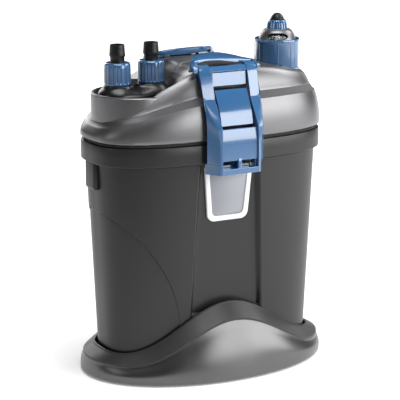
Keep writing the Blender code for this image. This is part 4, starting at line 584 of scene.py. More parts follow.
def make_foot():
    pocket = grown(body_half(40 * MM), 0.7 * MM)

    def band(inset, shift, rise=45 * MM, draw=0.125):
        return foot_ring(grown(FOOT_BAND, -inset), FOOT_POWER, 20.5 * MM + shift, rise, draw)

    def top(spread, shift):
        return foot_ring(grown(pocket, spread), BODY_POWER, 31 * MM + shift, 52 * MM, -0.03)

    def skirt(share):
        low = foot_ring(FOOT_HALF, FOOT_POWER, 4 * MM)
        high = band(0.0, -2.4 * MM)
        bulge = SKIRT_BULGE * math.sin(math.pi * share)
        ring = []
        for a, b in zip(low, high):
            p = Vector(a).lerp(Vector(b), share)
            out = Vector((0.0, p.y, 0.0)).normalized() * bulge * min(1.0, abs(p.y) / 0.04)
            ring.append(tuple(p + out))
        return ring

    def shoulder(share):
        low, high = band(0.35 * MM, 1.5 * MM), top(3.4 * MM, -1.6 * MM)
        return [tuple(Vector(a).lerp(Vector(b), share)) for a, b in zip(low, high)]

    rings = [
        foot_ring(pocket, BODY_POWER, 7 * MM),
        foot_ring(grown(pocket, WALL), BODY_POWER, 7 * MM),
        foot_ring(grown(pocket, WALL), BODY_POWER, 23 * MM, 52 * MM),
        band(WALL, -3.5 * MM),
        *(foot_ring(grown(FOOT_HALF, -inset), FOOT_POWER, z)
          for inset, z in in_mm([(3, 1.5), (1.2, 1.5), (0.4, 1.9), (0, 2.9)])),
        *(skirt(s) for s in np.linspace(0.0, 0.95, 14)),
        band(0.15 * MM, -0.9 * MM), band(0.2 * MM, 0.4 * MM),
        *(shoulder(s) for s in np.linspace(0.0, 1.0, 8)),
        top(2.9 * MM, -0.7 * MM), top(2.2 * MM, -0.2 * MM), top(1.4 * MM, 0.0),
        top(0.7 * MM, -0.4 * MM), top(0.5 * MM, -1.2 * MM),
        foot_ring(pocket, BODY_POWER, 10 * MM),
    ]
    foot = dress(loft("foot_body", rings, tinted=SHOULDER_ROWS), "base", "dark_shell",
                 ("foot_plinth",), 15, ("shoulder_shell",))
    foot.data.materials[0] = PAINT["foot_shell"]


make_foot()


# ---- lid ----
LID_BOTTOM = 268.9 * MM
TUB = (-83 * MM, 0.0)
HEATER = (97 * MM, 0.0)
crown = curve_through(in_mm([   # place along X, height of the lid's top
    (-140, 290), (-128, 293.5), (-102, 308), (-63, 330), (-30, 343), (10, 345.5), (60, 341.5),
    (100, 333.5), (140, 326.5)]))
LID_LINES = [   # half sizes in mm and level: 0 seam, 1 and 2 the band's edges, 3 the crown
    (139.0, 70.8, 0.0), (139.8, 71.6, 0.015), (140.2, 72.0, 0.05), (140.3, 72.1, 0.18),
    (140.0, 71.8, 0.38), (139.3, 71.2, 0.55), (138.0, 70.0, 0.72), (136.6, 68.6, 0.86),
    (135.4, 67.4, 0.95), (134.7, 66.7, 1.0), (133.6, 65.6, 1.05), (131.4, 63.5, 1.45),
    (129.0, 61.2, 1.90), (129.0, 61.1, 2.0), (128.4, 60.2, 2.07), (127.2, 58.6, 2.28),
    (125.8, 56.7, 2.48), (124.2, 54.7, 2.66), (122.6, 52.9, 2.78), (120.6, 50.9, 2.87),
    (117.6, 48.3, 2.925), (113.0, 44.8, 2.955), (104.0, 39.0, 2.98), (88.0, 30.0, 2.995),
    (70.0, 22.0, 3.0), (64.0, 12.0, 3.0), (60.0, 2.0, 3.0)]
# the rows that take the band material and its painted shade; row 9, the ledge facing up, is among
# them so that it is painted dark too
BAND_ROWS = (9, 10, 11)
PIN_Y, PIN_Z, EAR = 55.0, 344.0, 3.4   # the clip pins and the radius of their ears, in mm


def droop(x):
    """How far the band sinks toward the hose end."""
    return 25 * MM * (max(0.0, -20 * MM - x) / (115 * MM)) ** 1.6


stripe_right = curve_through(in_mm([(0, 308), (45, 309), (90, 309), (125, 307.6), (140, 306.8)]))
stripe_width = curve_through(in_mm([
    (-140, 5.0), (-105, 5.0), (-90, 5.6), (-75, 6.6), (-60, 7.8), (-40, 8.8), (0, 9.2),
    (60, 8.6), (100, 8.0), (140, 7.0)]))


def stripe_low(x):
    return stripe_right(x) - droop(x)


def stripe_high(x):
    return stripe_low(x) + stripe_width(x)


def lid_ring(half, level, inset=0.0):
    """A ring of the lid at a level of LID_LINES, or `inset` inside it."""
    turns = np.linspace(0.0, math.pi, 101)
    ring = []
    for x, y in both_sides([around(t, grown(half, -inset), BODY_POWER) for t in turns]):
        low, high = stripe_low(x), stripe_high(x)
        top = max(crown(x), high + 0.5 * MM)
        if level <= 1:
            z = blend(LID_BOTTOM, low, level)
        elif level <= 2:
            z = blend(low, high, level - 1)
        else:
            z = blend(high, top, level - 2)
        ring.append((x, y, z - inset if level else z))
    return ring


def bowl(z):
    """Radius of the pocket's wall toward +X, in mm, at a height in mm."""
    return float(np.interp(z, (317, 322, 328, 334, 341, 348), (44.6, 45.2, 46.6, 49.0, 53.2, 59.0)))


def flare(angle, radius, height):
    """The pocket's wall lies further back toward the two shoulder ridges (negative amount)."""
    turn = abs(math.degrees(math.remainder(angle, 2 * math.pi)))
    share = float(np.interp(turn, (2, 50, 76, 95), (0.0, 1.0, 1.0, 0.3)))
    share = share * share * (3 - 2 * share)
    wide = float(np.interp(height / MM, (316, 323, 328.7, 335.7, 340.1, 348),
                           (0.0, 0.6, 5.6, 9.6, 14.0, 14.0)))
    return -share * wide * MM if radius > 40 * MM else 0.0


def make_lid():
    outer = [lid_ring((a * MM, b * MM), level) for a, b, level in LID_LINES]
    lid = loft("lid_cover", outer, tinted=BAND_ROWS)
    for name in ("lid_grey", "band_grey"):
        lid.data.materials.append(PAINT[name])
    block = [(0.0, 317.2), (46.6, 317.2), (47.6, 316.9), (48.2, 316.2), (48.4, 315.2),
             (48.4, 288.0), (0.0, 288.0)]
    boolean(lid, turned("tub_block", in_mm(block), TUB, 96), "UNION")
    pocket = [(0.0, 301.0)] + [(44.6, z) for z in (301.0, 317.0)]
    pocket += [(bowl(z), z) for z in range(318, 349)] + [(62.0, 400.0), (0.0, 400.0)]
    boolean(lid, turned("tub_pocket", in_mm(pocket), TUB, 180, wobble=flare))
    inside = [lid_ring((a * MM, b * MM), level, WALL) for a, b, level in LID_LINES[3::3]]
    mouth = [(x, y, LID_BOTTOM - 5 * MM) for x, y, _ in inside[0]]
    hollow = loft("lid_hollow", [mouth] + inside)
    room = [(0.0, 288.0), (48.4, 288.0), (48.4, 314.0)]
    room += [(bowl(z) + 4.5, z) for z in range(316, 349, 2)] + [(66.0, 400.0), (0.0, 400.0)]
    boolean(hollow, turned("tub_room", in_mm(room), TUB, 144, wobble=flare))
    boolean(lid, hollow)
    for name, radius, at in (("tub_hole", 39.0, TUB), ("collar_hole", 26.3, HEATER)):
        hole = [(0.0, 400.0), (radius, 400.0), (radius, 280.0), (0.0, 280.0)]
        boolean(lid, turned(name, in_mm(hole), at, 96))
    dress(lid, "lid", "lid_grey", ("lid_shell",), 26, ("band_grey",))
    arc = [math.radians(180 - 15 * i) for i in range(13)]
    for side, word in ((-1, "front"), (1, "rear")):
        for hand, mark in ((-1, "left"), (1, "right")):
            section = [(PIN_Y - EAR, 326.0)]
            section += [(PIN_Y + EAR * math.cos(a), PIN_Z + EAR * math.sin(a)) for a in arc]
            section.append((PIN_Y + EAR, 326.0))
            rings = [across(hand * x, side, section) for x in (13.5, 20.5)]
            ear = rounded(loft(f"lid_{word}_ear_{mark}", rings), 0.4 * MM)
            dress(ear, "lid", "lid_grey")


make_lid()


# ---- clips ----
RAILS = [   # height, back, front, half width of the front edge, in mm
    (348.8, 53.4, 56.6, 35.0), (346.6, 51.8, 61.6, 35.0), (338.0, 58.0, 65.5, 35.0),
    (314.0, 70.5, 72.0, 34.5),
    (296.0, 76.5, 83.5, 30.5), (284.0, 78.3, 90.5, 27.0), (265.0, 78.5, 91.2, 24.8),
    (245.5, 78.5, 91.2, 24.7), (244.0, 73.6, 91.2, 24.7), (233.3, 73.6, 91.2, 24.6)]
PANELS = {  # front surface as (distance, height), thickness and half width, in mm
    "crossbar": ([(59.4, 347.6), (63.2, 342.2)], 1.6, 22.6),
    "top_panel": ([(62.8, 341.2), (64.4, 326.5)], 2.2, 20.6),
    "mid_panel": ([(67.2, 322.6), (70.2, 317.4), (73.0, 312.2), (75.7, 307.0), (78.1, 301.8),
                   (80.2, 296.6), (81.8, 291.2), (82.9, 285.6)], 2.2, 19.7),
    "low_panel": ([(86.4, 282.6), (87.4, 277.0), (88.2, 271.0), (88.6, 267.5), (88.7, 264.5),
                   (88.7, 248.0)], 3.0, 22.2),
    "foot_bar": ([(91.0, 239.5), (91.0, 233.3)], 9.0, 22.6),
}
BRIDGES = {   # low and high corner, then the colour
    # the two black plates paint the shadow in the gaps between the clip's panels
    "top_shadow_plate": ((-22.4, 61.0, 321.4), (22.4, 62.0, 340.0), "black_plastic"),
    "mid_shadow_plate": ((-22.4, 76.4, 280.5), (22.4, 77.4, 295.0), "black_plastic"),
    "low_liner": ((-22.4, 80.5, 258.0), (22.4, 83.5, 282.0), "blue_plastic"),
    "window_rib": ((-2.2, 81.5, 236.0), (2.2, 89.5, 250.0), "blue_plastic"),
    "window_side_left": ((-22.6, 80.5, 236.0), (-20.0, 86.5, 250.0), "blue_plastic"),
    "window_side_right": ((20.0, 80.5, 236.0), (22.6, 86.5, 250.0), "blue_plastic"),
}


def make_clip(side, word):
    body = f"{word}_clip"

    def place(x, y, z):
        return (x * MM, side * y * MM, z * MM)

    for hand, mark in ((-1, "left"), (1, "right")):
        rings = [[place(hand * 35, back, z),
                  place(hand * (edge + 0.4), front - 0.17 * (edge - 22), z),
                  place(hand * 22, front, z), place(hand * 22, back, z)]
                 for z, back, front, edge in RAILS]
        rail = rounded(loft(f"{word}_clip_rail_{mark}", rings), 0.5 * MM, 2, 20)
        dress(rail, body, "blue_plastic", (f"{word}_clip_frame",), 14)
        circle = [2 * math.pi * i / 32 for i in range(32)]
        rings = [across(hand * x, side, [(PIN_Y + r * math.cos(a), PIN_Z + r * math.sin(a))
                                         for a in circle])
                 for x, r in ((22.0, 5.1), (22.4, 5.5), (34.6, 5.5), (35.0, 5.1))]
        dress(loft(f"{word}_clip_eye_{mark}", rings), body, "blue_plastic")
    for part, (front, thick, half) in PANELS.items():
        section = front + [(y - thick, z) for y, z in reversed(front)]
        rings = [across(x, side, section) for x in (-half, half)]
        panel = rounded(loft(f"{word}_clip_{part}", rings), 0.35 * MM, 2, 40)
        dress(panel, body, "blue_plastic", (), 12)
    for part, (low, high, slot) in BRIDGES.items():
        ys = sorted((side * low[1], side * high[1]))
        bridge = box(f"{word}_clip_{part}", Vector((low[0], ys[0], low[2])) * MM,
                     Vector((high[0], ys[1], high[2])) * MM)
        dress(rounded(bridge, 0.3 * MM), body, slot)


LOOPS = {   # place along X, inner edge, outer edge (each distance and height), thickness
    "front": [
        (-35.0, 43.6, 356.2, 50.4, 353.8, 4.6), (-30.0, 41.0, 358.0, 49.6, 354.6, 4.4),
        (-24.0, 38.2, 359.0, 48.8, 354.8, 3.4), (-17.0, 36.2, 359.4, 48.2, 354.7, 2.8),
        (-9.0, 34.6, 359.6, 47.9, 354.4, 2.8), (0.0, 34.0, 359.2, 47.8, 354.0, 3.2),
        (8.0, 34.8, 357.9, 47.8, 353.5, 4.2), (15.0, 36.6, 356.4, 48.0, 353.0, 5.0),
        (22.0, 39.6, 354.6, 48.2, 352.2, 5.2), (29.0, 43.0, 352.6, 48.8, 351.3, 4.8),
        (35.0, 46.2, 351.2, 49.4, 350.8, 3.4)],
    "rear": [
        (-35.0, 46.2, 350.4, 49.4, 350.2, 2.2), (-28.0, 42.0, 351.4, 48.8, 350.8, 2.4),
        (-20.0, 39.0, 352.6, 48.4, 351.6, 2.4), (-10.0, 36.6, 353.6, 48.0, 352.2, 2.4),
        (0.0, 35.6, 354.0, 48.0, 352.6, 2.4), (10.0, 35.6, 354.2, 48.0, 352.8, 2.4),
        (20.0, 37.0, 354.0, 48.4, 352.6, 2.4), (28.0, 40.0, 353.4, 48.8, 352.2, 2.4),
        (35.0, 43.8, 352.4, 50.4, 351.8, 2.4)],
}
LOOP_TIPS = {   # the arms outside the rails: place along X and the same five values
    "front": ([(-41.6, 50.0, 350.6, 60.0, 346.6, 5.0), (-36.2, 46.0, 355.2, 60.0, 348.4, 6.6),
               (-35.4, 43.8, 356.2, 55.0, 352.0, 3.2)],
              [(35.4, 46.2, 351.2, 54.0, 349.8, 3.0), (36.2, 48.0, 350.2, 60.0, 347.4, 5.8),
               (40.4, 50.0, 348.8, 60.0, 346.6, 5.0)]),
    "rear": ([(-40.4, 50.0, 348.0, 60.0, 346.6, 5.0), (-36.2, 48.0, 348.8, 60.0, 347.4, 5.8),
              (-35.4, 46.2, 350.4, 54.0, 349.4, 3.0)],
             [(35.4, 44.0, 352.4, 55.0, 350.8, 3.2), (36.2, 46.0, 352.0, 60.0, 348.4, 6.6),
              (41.6, 50.0, 350.0, 60.0, 346.6, 5.0)]),
}


def make_loop(side, word):
    body = f"{word}_loop"
    table = np.array(LOOPS[word])
    lines = [curve_through(list(zip(table[:, 0], table[:, k]))) for k in range(1, 6)]
    lip = 4.6 if word == "rear" else 1.0
    rings = []
    for x in np.linspace(-35.6, 35.6, 57):
        rear_y, rear_z, front_y, front_z, thick = (line(x) for line in lines)
        top = [(blend(rear_y, front_y, t), blend(rear_z, front_z, t)
                + 0.35 * math.sin(math.pi * t)) for t in (0.06, 0.3, 0.5, 0.7, 0.94)]
        edge = [(front_y, front_z - 0.5), (front_y, front_z - thick + 0.5)]
        wall = rear_y + 2.0
        below = [(blend(front_y, wall, t), blend(front_z, rear_z, t) - thick)
                 for t in (0.06, 0.5, 0.96)]
        foot_z = rear_z - thick - lip * math.cos(math.pi * x / 75) ** 0.7
        below += [(wall, foot_z + 0.4), (wall - 0.5, foot_z), (rear_y + 0.5, foot_z)]
        back = [(rear_y, foot_z + 0.5), (rear_y, rear_z - 0.5)]
        rings.append(across(x, side, top + edge + below + back))
    dress(loft(f"{word}_loop_band", rings), body, "blue_plastic", (f"{word}_handle",), 50)
    for tips, mark in zip(LOOP_TIPS[word], ("left", "right")):
        rings = []
        for x, rear_y, rear_z, front_y, front_z, thick in tips:
            section = [(rear_y, rear_z), (front_y, front_z), (front_y, front_z - thick),
                       (rear_y, rear_z - thick)]
            rings.append(across(x, side, section))
        tip = rounded(loft(f"{word}_loop_tip_{mark}", rings), 0.7 * MM, 2, 25)
        dress(tip, body, "blue_plastic", (), 40)


for sign, place_word in ((-1, "front"), (1, "rear")):
    make_clip(sign, place_word)
    make_loop(sign, place_word)


# ---- hose unit ----
PORTS = {"inlet": -103.6 * MM, "outlet": -62.8 * MM}   # places along X


def two_lobes(radius, z, pinch):
    """Outline of two joined discs; pinch 1 keeps the full waist, 0 fills it straight."""
    middle = sum(PORTS.values()) / 2
    reach = (PORTS["outlet"] - PORTS["inlet"]) / 2
    ring = []
    for i in range(128):
        angle = 2 * math.pi * i / 128
        c, s = abs(math.cos(angle)), abs(math.sin(angle))
        lobe = reach * c + math.sqrt(max(radius ** 2 - (reach * s) ** 2, 0.0))
        hull = radius / s if s > 1e-9 and radius / s * c < reach else lobe
        r = blend(hull, lobe, pinch)
        ring.append((middle + r * math.cos(angle), r * math.sin(angle), z))
    return ring


def make_hose_unit():
    rows = [  # lobe radius and height in mm, then how much of the waist is kept
        (23.4, 301.3, 0.0), (23.4, 309.6, 0.0), (23.1, 310.6, 0.0), (22.5, 311.0, 0.0),
        (22.3, 311.6, 0.0), (22.25, 314.4, 0.0), (22.0, 315.8, 0.02), (21.4, 317.3, 0.05),
        (20.5, 318.8, 0.1), (19.4, 320.1, 0.18), (18.1, 321.3, 0.3), (16.9, 322.3, 0.5),
        (16.0, 323.3, 0.75), (15.5, 324.4, 0.9), (15.2, 325.2, 1.0), (14.6, 325.6, 1.0)]
    body = loft("hose_unit_cap", [two_lobes(r * MM, z * MM, p) for r, z, p in rows])
    plug = [(0.0, 303.0), (35.0, 303.0), (35.4, 302.0), (35.4, 293.0), (34.4, 292.0),
            (0.0, 292.0)]
    boolean(body, turned("hose_unit_plug", in_mm(plug), TUB, 96), "UNION")
    for x in PORTS.values():
        port = [(0.0, 340.0), (6.4, 340.0), (6.4, 280.0), (0.0, 280.0)]
        boolean(body, turned("port", in_mm(port), (x, 0.0), 40))
    dress(body, "hose_unit", "black_plastic", ("hose_unit_body",), 30)
    for word, x in PORTS.items():
        make_nozzle(word, (x, 0.0))


def flutes(angle, radius, height):
    """Grip flutes on a union nut: broad ribs with narrow valleys."""
    if radius < 13.5 * MM or not 328.5 * MM < height < 348.6 * MM:
        return 0.0
    share = (angle / (2 * math.pi) * 20) % 1.0
    return 0.75 * MM * max(0.0, 1 - abs(share - 0.5) / 0.16) ** 0.7


def make_nozzle(word, at):
    profile = [(6.0, 370.0), (6.4, 370.0), (7.3, 370.0), (7.8, 369.9), (8.0, 369.0),
               (8.2, 366.0), (8.5, 361.5), (8.8, 359.4), (8.8, 358.0), (8.4, 357.0),
               (7.9, 356.2), (7.8, 352.0), (7.8, 331.0), (10.5, 331.0), (10.5, 325.9),
               (6.0, 325.9)]
    nozzle = turned(f"{word}_spigot", in_mm(profile), at, 56, ring=True)
    dress(nozzle, "hose_unit", "black_plastic", (f"{word}_nozzle",), 40)
    nozzle.data.materials[0] = PAINT["black_satin"]
    rows = [(8.2, 350.5), (12.2, 350.5), (13.0, 350.3), (13.9, 349.6), (14.3, 348.7),
            (14.35, 348.4), (14.6, 343.0), (14.75, 336.0), (14.8, 330.0), (14.8, 328.7),
            (14.8, 328.3), (14.8, 326.8), (14.5, 326.2), (14.0, 326.0), (11.0, 326.0),
            (11.0, 332.0), (8.2, 332.0)]
    nut = turned(f"{word}_union_nut", in_mm(rows), at, 200, ring=True, wobble=flutes)
    dress(nut, f"{word}_nut", "blue_plastic", (f"{word}_nut",), 40)


make_hose_unit()


# ---- heater ----
WINDOW_TURN = math.radians(28)
DIAL_NUMERALS = range(18, 34, 2)
NUMERAL_PITCH = 26   # degrees


def ribs(angle, radius, height):
    """Thin raised ribs up the heater collar, in groups of three every quarter turn."""
    if radius < 24 * MM or not 316 * MM < height < 359.4 * MM:
        return 0.0
    turn = (math.degrees(angle) + 118) % 90
    near = min(abs(turn - place) for place in (0, 37, 52, 90))
    return -0.45 * MM * max(0.0, 1 - near / 1.8)


def knurl(angle, radius, height):
    """Deep grip slots of the dial knob."""
    if radius < 9 * MM or not 374.8 * MM < height < 383 * MM:
        return 0.0
    share = (angle / (2 * math.pi) * 20) % 1.0
    return 1.3 * MM * max(0.0, 1 - abs(share - 0.5) / 0.24) ** 0.8


def make_heater():
    rows = [(23.0, 363.6), (25.0, 363.6), (25.5, 363.3), (25.7, 362.6), (25.7, 360.2),
            (25.4, 359.6), (25.2, 359.0), (25.2, 340.0), (25.4, 326.0), (25.6, 316.4),
            (25.9, 315.6), (26.0, 312.0), (23.0, 312.0)]
    collar = turned("heater_sleeve", in_mm(rows), HEATER, 360, ring=True, wobble=ribs)
    dress(collar, "lid", "blue_plastic", ("heater_collar",), 40)
    outer = [(12.7, 374.6), (14.3, 374.0), (15.9, 372.9), (17.3, 371.4), (18.6, 369.5),
             (19.8, 367.2), (20.8, 364.6), (21.5, 361.8), (22.1, 358.4), (22.1, 354.3)]
    inner = [(20.3, 354.3), (20.3, 359.6), (19.6, 362.6), (18.8, 365.4), (17.4, 367.8),
             (15.4, 370.0), (12.7, 371.6)]
    dome = turned("heater_dome_shell", in_mm(outer + inner), HEATER, 120, ring=True)
    boolean(dome, oval("window_opening", 23.6 * MM, 8.6 * MM))
    dress(dome, "heater", "lid_grey", ("heater_dome",), 35)
    rows = [(4.2, 384.4), (8.2, 384.6), (9.0, 384.4), (9.6, 383.8), (10.3, 382.6),
            (10.9, 381.0), (11.3, 378.6), (11.6, 376.4), (11.8, 375.0), (12.0, 374.6),
            (12.2, 374.0), (12.2, 372.1), (11.6, 371.9), (10.6, 371.9), (10.6, 356.5),
            (4.2, 356.5)]
    knob = turned("dial_grip", in_mm(rows), HEATER, 192, ring=True, wobble=knurl)
    dress(knob, "dial", "blue_plastic", ("dial_knob",), 35)
    rows = [(0.0, 392.0), (2.2, 391.8), (4.0, 391.0), (5.6, 389.6), (6.8, 387.8), (7.6, 386.0),
            (7.8, 385.3), (7.5, 384.9), (3.8, 384.9), (3.8, 354.4), (0.0, 354.4)]
    cap = turned("heater_cable_cap", in_mm(rows), HEATER, 64)
    dress(cap, "heater", "black_plastic", ("heater_cable_gland",), 45)
    cap.data.materials[0] = PAINT["black_satin"]
    latch = box("heater_latch", (99.5 * MM, -27.2 * MM, 327.5 * MM),
                (110.5 * MM, -22.6 * MM, 333.2 * MM))
    dress(rounded(latch, 1.2 * MM, 3), "lid", "blue_plastic")
    make_numerals()


def oval(name, width, height):
    """An upright oval bar from the heater's axis out through the window."""
    bm = bmesh.new()
    bmesh.ops.create_cone(bm, cap_ends=True, segments=48, radius1=1.0, radius2=1.0, depth=1.0)
    turn = Matrix.Translation((HEATER[0], 0.0, 367.0 * MM)) @ Matrix.Rotation(-WINDOW_TURN, 4, "Z")
    turn = turn @ Matrix.Translation((0.0, -15 * MM, 0.0)) @ Matrix.Rotation(math.pi / 2, 4, "X")
    bm.transform(turn @ Matrix.Diagonal((width / 2, height / 2, 28 * MM, 1.0)))
    return finished(name, bm)


def make_numerals():
    """The dial drum and plain even numbers round it, as on any thermostat scale."""
    rows = [(13.4, 369.2), (14.6, 368.9), (15.6, 367.9), (18.0, 363.4), (18.5, 361.4),
            (18.5, 357.5), (16.6, 357.5), (16.6, 361.0), (14.6, 365.6), (12.9, 368.0)]
    drum = turned("dial_number_drum", in_mm(rows), HEATER, 96, ring=True)
    dress(drum, "dial", "drum_black", ("dial_drum",), 40)
    lean = math.atan2(15.6 - 18.0, 367.9 - 363.4)
    for i, value in enumerate(DIAL_NUMERALS):
        turn = math.radians((i - 3) * NUMERAL_PITCH) - WINDOW_TURN
        curve = bpy.data.curves.new(f"numeral_{value}", "FONT")
        curve.body, curve.size, curve.extrude = str(value), 5.4 * MM, 0.12 * MM
        curve.align_x, curve.align_y = "CENTER", "CENTER"
        item = placed(f"dial_numeral_{value}", curve)
        item.matrix_world = (Matrix.Translation((HEATER[0], 0.0, 365.9 * MM))
                             @ Matrix.Rotation(turn, 4, "Z")
                             @ Matrix.Translation((0.0, -16.72 * MM, 0.0))
                             @ Matrix.Rotation(math.pi / 2 + lean, 4, "X"))
        bpy.context.view_layer.update()
        world = item.matrix_world.copy()
        mesh = bpy.data.meshes.new_from_object(item)
        mesh.transform(world)
        bpy.data.objects.remove(item)
        dress(placed(f"dial_numeral_{value}", mesh), "dial", "numeral")


make_heater()


# ---- badge ----
def badge_outline(inset):
    """The badge's outline, square at the top and rounded at the foot."""
    top, low = 238 * MM - inset, 175.5 * MM + inset
    half_top, half_low = 30 * MM - inset, 25.5 * MM - inset
    corner = 9 * MM - 0.5 * inset
    right = []
    for i in range(9):
        a = math.radians(-90 + 82 * i / 8)
        right.append((half_low - corner + corner * math.cos(a), low + corner + corner * math.sin(a)))
    right.append((half_top, top))
    return right + [(-x, z) for x, z in reversed(right)]


def make_badge():
    """A blank plate in a raised pale border, lying on the leaning middle panel."""
    lean = math.atan((BODY_HIGH[1] - BODY_LOW[1]) / (BODY_SPAN[1] - BODY_SPAN[0]))
    middle = 206.75 * MM
    face = body_half(middle)[1] - PANEL_DEPTH + 0.3 * MM
    place = (Matrix.Translation((0.0, -face, middle))
             @ Matrix.Rotation(lean, 4, "X") @ Matrix.Translation((0.0, 0.0, -middle)))
    border = [(0.0, 0.0), (0.0, 1.9), (0.35, 2.4), (0.9, 2.6), (5.2, 2.6), (5.7, 2.4),
              (5.95, 1.9), (6.0, 0.0)]
    field = [(6.3, 0.1), (6.3, 1.4), (6.6, 1.6)]

    def rings(steps):
        return [[tuple(place @ Vector((x, -height, z))) for x, z in badge_outline(inset)]
                for inset, height in in_mm(steps)]

    dress(loft("badge_border", rings(border), closed=True), "base", "badge_white",
          ("badge_frame",), 50)
    dress(loft("badge_field", rings(field)), "base", "badge_grey", ("badge_plate",), 40)


make_badge()


# ---- filter media ----
def spongy(angle, radius, height):
    """Soft unevenness of cut foam."""
    if radius < 20 * MM:
        return 0.0
    return 0.35 * MM * (1 + math.sin(3 * angle + 90 * height) * math.sin(5 * angle - 140 * height))


def make_sleeve():
    """The foam sleeve on the cage under the hose unit."""
    low, high = (corner[2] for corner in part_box("prefilter_foam"))
    profile = [(28.2 * MM, low)]
    profile += [(29 * MM, z) for z in np.linspace(low + 0.8 * MM, high - 0.8 * MM, 44)]
    profile += [(28.2 * MM, high), (9.8 * MM, high), (9.8 * MM, low)]
    sleeve = turned("prefilter_sleeve", profile, TUB, 72, ring=True, wobble=spongy)
    dress(sleeve, "hose_unit", "foam_blue", ("prefilter_foam",), 40)


PAD_EDGE = [   # inset from the basket in mm, then the share of the height
    (6.0, 0.0), (1.6, 0.0), (0.6, 0.02), (0.3, 0.08), (0.9, 0.35), (1.1, 0.5), (0.9, 0.65),
    (0.3, 0.9), (0.6, 0.945), (1.6, 0.962), (4.0, 0.97), (9.0, 0.98), (18.0, 0.992),
    (30.0, 1.0)]


def make_pad(number, slot, shrink=0.0):
    """A cut block of media: sides a little drawn in, top a little crowned and `shrink` lower.

    Returns the middle of the basket's filling and the height of the block's top.
    """
    node = f"media_block_{number}"
    low, high = (Vector(corner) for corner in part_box(node))
    middle, half = (low + high) / 2, (high - low) / 2
    rings = []
    for inset, share in PAD_EDGE:
        edge = (half.x - inset * MM, half.y - inset * MM)
        points = both_sides([around(math.pi * i / 40, edge, 4.4) for i in range(41)])
        z = low.z + share * (high.z - low.z - shrink)
        rings.append([(middle.x + x, middle.y + y,
                       z - (0.5 * MM * (1 - math.cos(160 * x + 70 * y)) if share > 0.9 else 0.0))
                      for x, y in points])
    pad = dress(loft(f"media_pad_{number}", rings), "base", slot, (node,), 40)
    return middle, high.z - shrink


def make_ceramic():
    """A bed of short ceramic tubes lying criss-cross."""
    middle, top = make_pad(3, "ceramic", 8 * MM)
    verts, faces, steps, pitch = [], [], 14, 11.6 * MM
    for k in range(9 * 7):
        x, y = (k % 9 - 4) * pitch, (k // 9 - 3) * pitch
        tip = math.pi / 2 + 0.3 * math.sin(5 * k)
        turn = Matrix.Rotation(2.4 * k, 3, "Z") @ Matrix.Rotation(tip, 3, "Y")
        at = Vector((middle.x + x, middle.y + y, top + (1.6 + 0.8 * math.sin(3 * k)) * MM))
        start = len(verts)
        for radius, along in ((5.0, -4.6), (5.0, 4.6), (2.6, 4.6), (2.6, -4.6)):
            for i in range(steps):
                a = 2 * math.pi * i / steps
                spot = Vector((radius * math.cos(a), radius * math.sin(a), along)) * MM
                verts.append(tuple(at + turn @ spot))
        for row in range(4):
            for i in range(steps):
                j, up = (i + 1) % steps, (row + 1) % 4
                faces.append((start + row * steps + i, start + row * steps + j,
                              start + up * steps + j, start + up * steps + i))
    dress(build("ceramic_tubes", verts, faces), "base", "ceramic")


make_sleeve()
make_pad(1, "foam_blue")
make_pad(2, "foam_black")
make_ceramic()


# ---- stage, light and camera ----
AWAY = (0.469, 0.883, 0.0)   # level direction from the camera to the object


def make_stage():
    """One pale floor, wide enough to fill every view.

    Toward the camera it is greyer, so that it throws less light up the object's front.
    """
    wide, low = 14.0, -0.0005
    floor = build("studio_floor", [(-wide, -wide, low), (wide, -wide, low), (wide, wide, low),
                                   (-wide, wide, low)], [(0, 1, 2, 3)])
    n = Nodes("studio_paper")
    away = n.add("ShaderNodeVectorMath", operation="DOT_PRODUCT")
    away.inputs[1].default_value = AWAY
    n.join(n.where, away.inputs[0])
    away = away.outputs["Value"]
    paper = n.mixed(n.noise(3.0), (0.93, 0.93, 0.93), (0.95, 0.95, 0.95))
    near = n.spread(away, 0.0, 1.0, -0.85, -0.45)
    n.set("Base Color", n.mixed(near, (0.30, 0.30, 0.30), paper))
    n.set("Roughness", 0.9)
    n.set("Emission Color", (1.0, 1.0, 1.0))
    reach = n.add("ShaderNodeVectorMath", operation="LENGTH")
    n.join(n.where, reach.inputs[0])
    close = n.spread(away, 0.0, 0.22, -0.6, -0.3)
    behind = n.spread(away, 0.0, 0.85, 0.7, 1.9)
    round_about = n.spread(reach.outputs["Value"], 0.0, 0.7, 1.7, 3.0)
    n.set("Emission Strength", n.math("ADD", close, n.math("MAXIMUM", behind, round_about)))
    floor.data.materials.append(n.material)


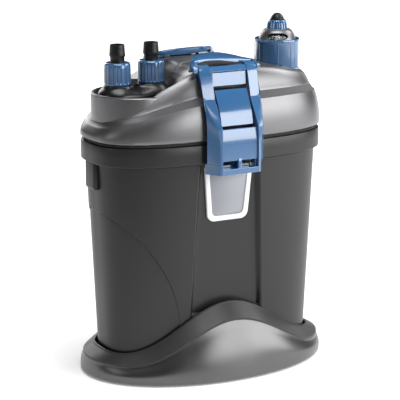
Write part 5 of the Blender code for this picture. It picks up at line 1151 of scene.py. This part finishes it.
SOFTBOXES = [   # name, degrees from the front toward +X, degrees up, size in metres, watts
    ("key", 39, 16, (2.3, 1.0), 42.0),
    ("high", -8, 60, (0.9, 0.9), 8.0),
    ("top", -20, 82, (1.4, 1.2), 30.0),
    ("right", 88, 40, (1.2, 0.8), 18.0),
    ("left", -88, 22, (0.9, 0.9), 3.0),
    ("back", 180, 20, (1.0, 1.0), 12.0),
    ("left_rim", -122, 6, (0.6, 0.9), 1.0),
    ("right_rim", 120, 6, (0.8, 0.8), 2.0),
]
LIGHT_REACH = 2.0


def make_light():
    middle = Vector((0.0, 0.0, 0.2))
    for name, turn, rise, size, power in SOFTBOXES:
        turn, rise = math.radians(turn), math.radians(rise)
        way = Vector((math.sin(turn) * math.cos(rise), -math.cos(turn) * math.cos(rise),
                      math.sin(rise)))
        light = bpy.data.lights.new(name, "AREA")
        light.shape, light.size, light.size_y, light.energy = "RECTANGLE", *size, power
        item = placed(name, light)
        item.location = middle + way * LIGHT_REACH
        item.location.z = max(item.location.z, size[1] / 2 + 0.01)
        item.rotation_mode = "QUATERNION"
        item.rotation_quaternion = (middle - item.location).to_track_quat("-Z", "Y")
    world = bpy.data.worlds.new("studio")
    world.use_nodes = True
    sky = world.node_tree.nodes["Background"].inputs
    sky["Color"].default_value = (1.0, 1.0, 1.0, 1.0)
    sky["Strength"].default_value = 0.03
    bpy.context.scene.world = world
    bpy.context.scene.view_settings.view_transform = "Standard"


def make_camera():
    camera = bpy.data.cameras.new("camera")
    camera.sensor_width = 36.0
    camera.lens = 160.53
    camera.clip_end = 50.0
    item = placed("camera", camera)
    item.location = (-0.92332, -1.73650, 0.65681)
    heading, pitch = math.radians(-27.95), math.radians(13.49)
    forward = Vector((-math.sin(heading) * math.cos(pitch), math.cos(heading) * math.cos(pitch),
                      -math.sin(pitch)))
    item.rotation_mode = "QUATERNION"
    item.rotation_quaternion = forward.to_track_quat("-Z", "Y")
    bpy.context.scene.camera = item


make_stage()
make_light()
make_camera()
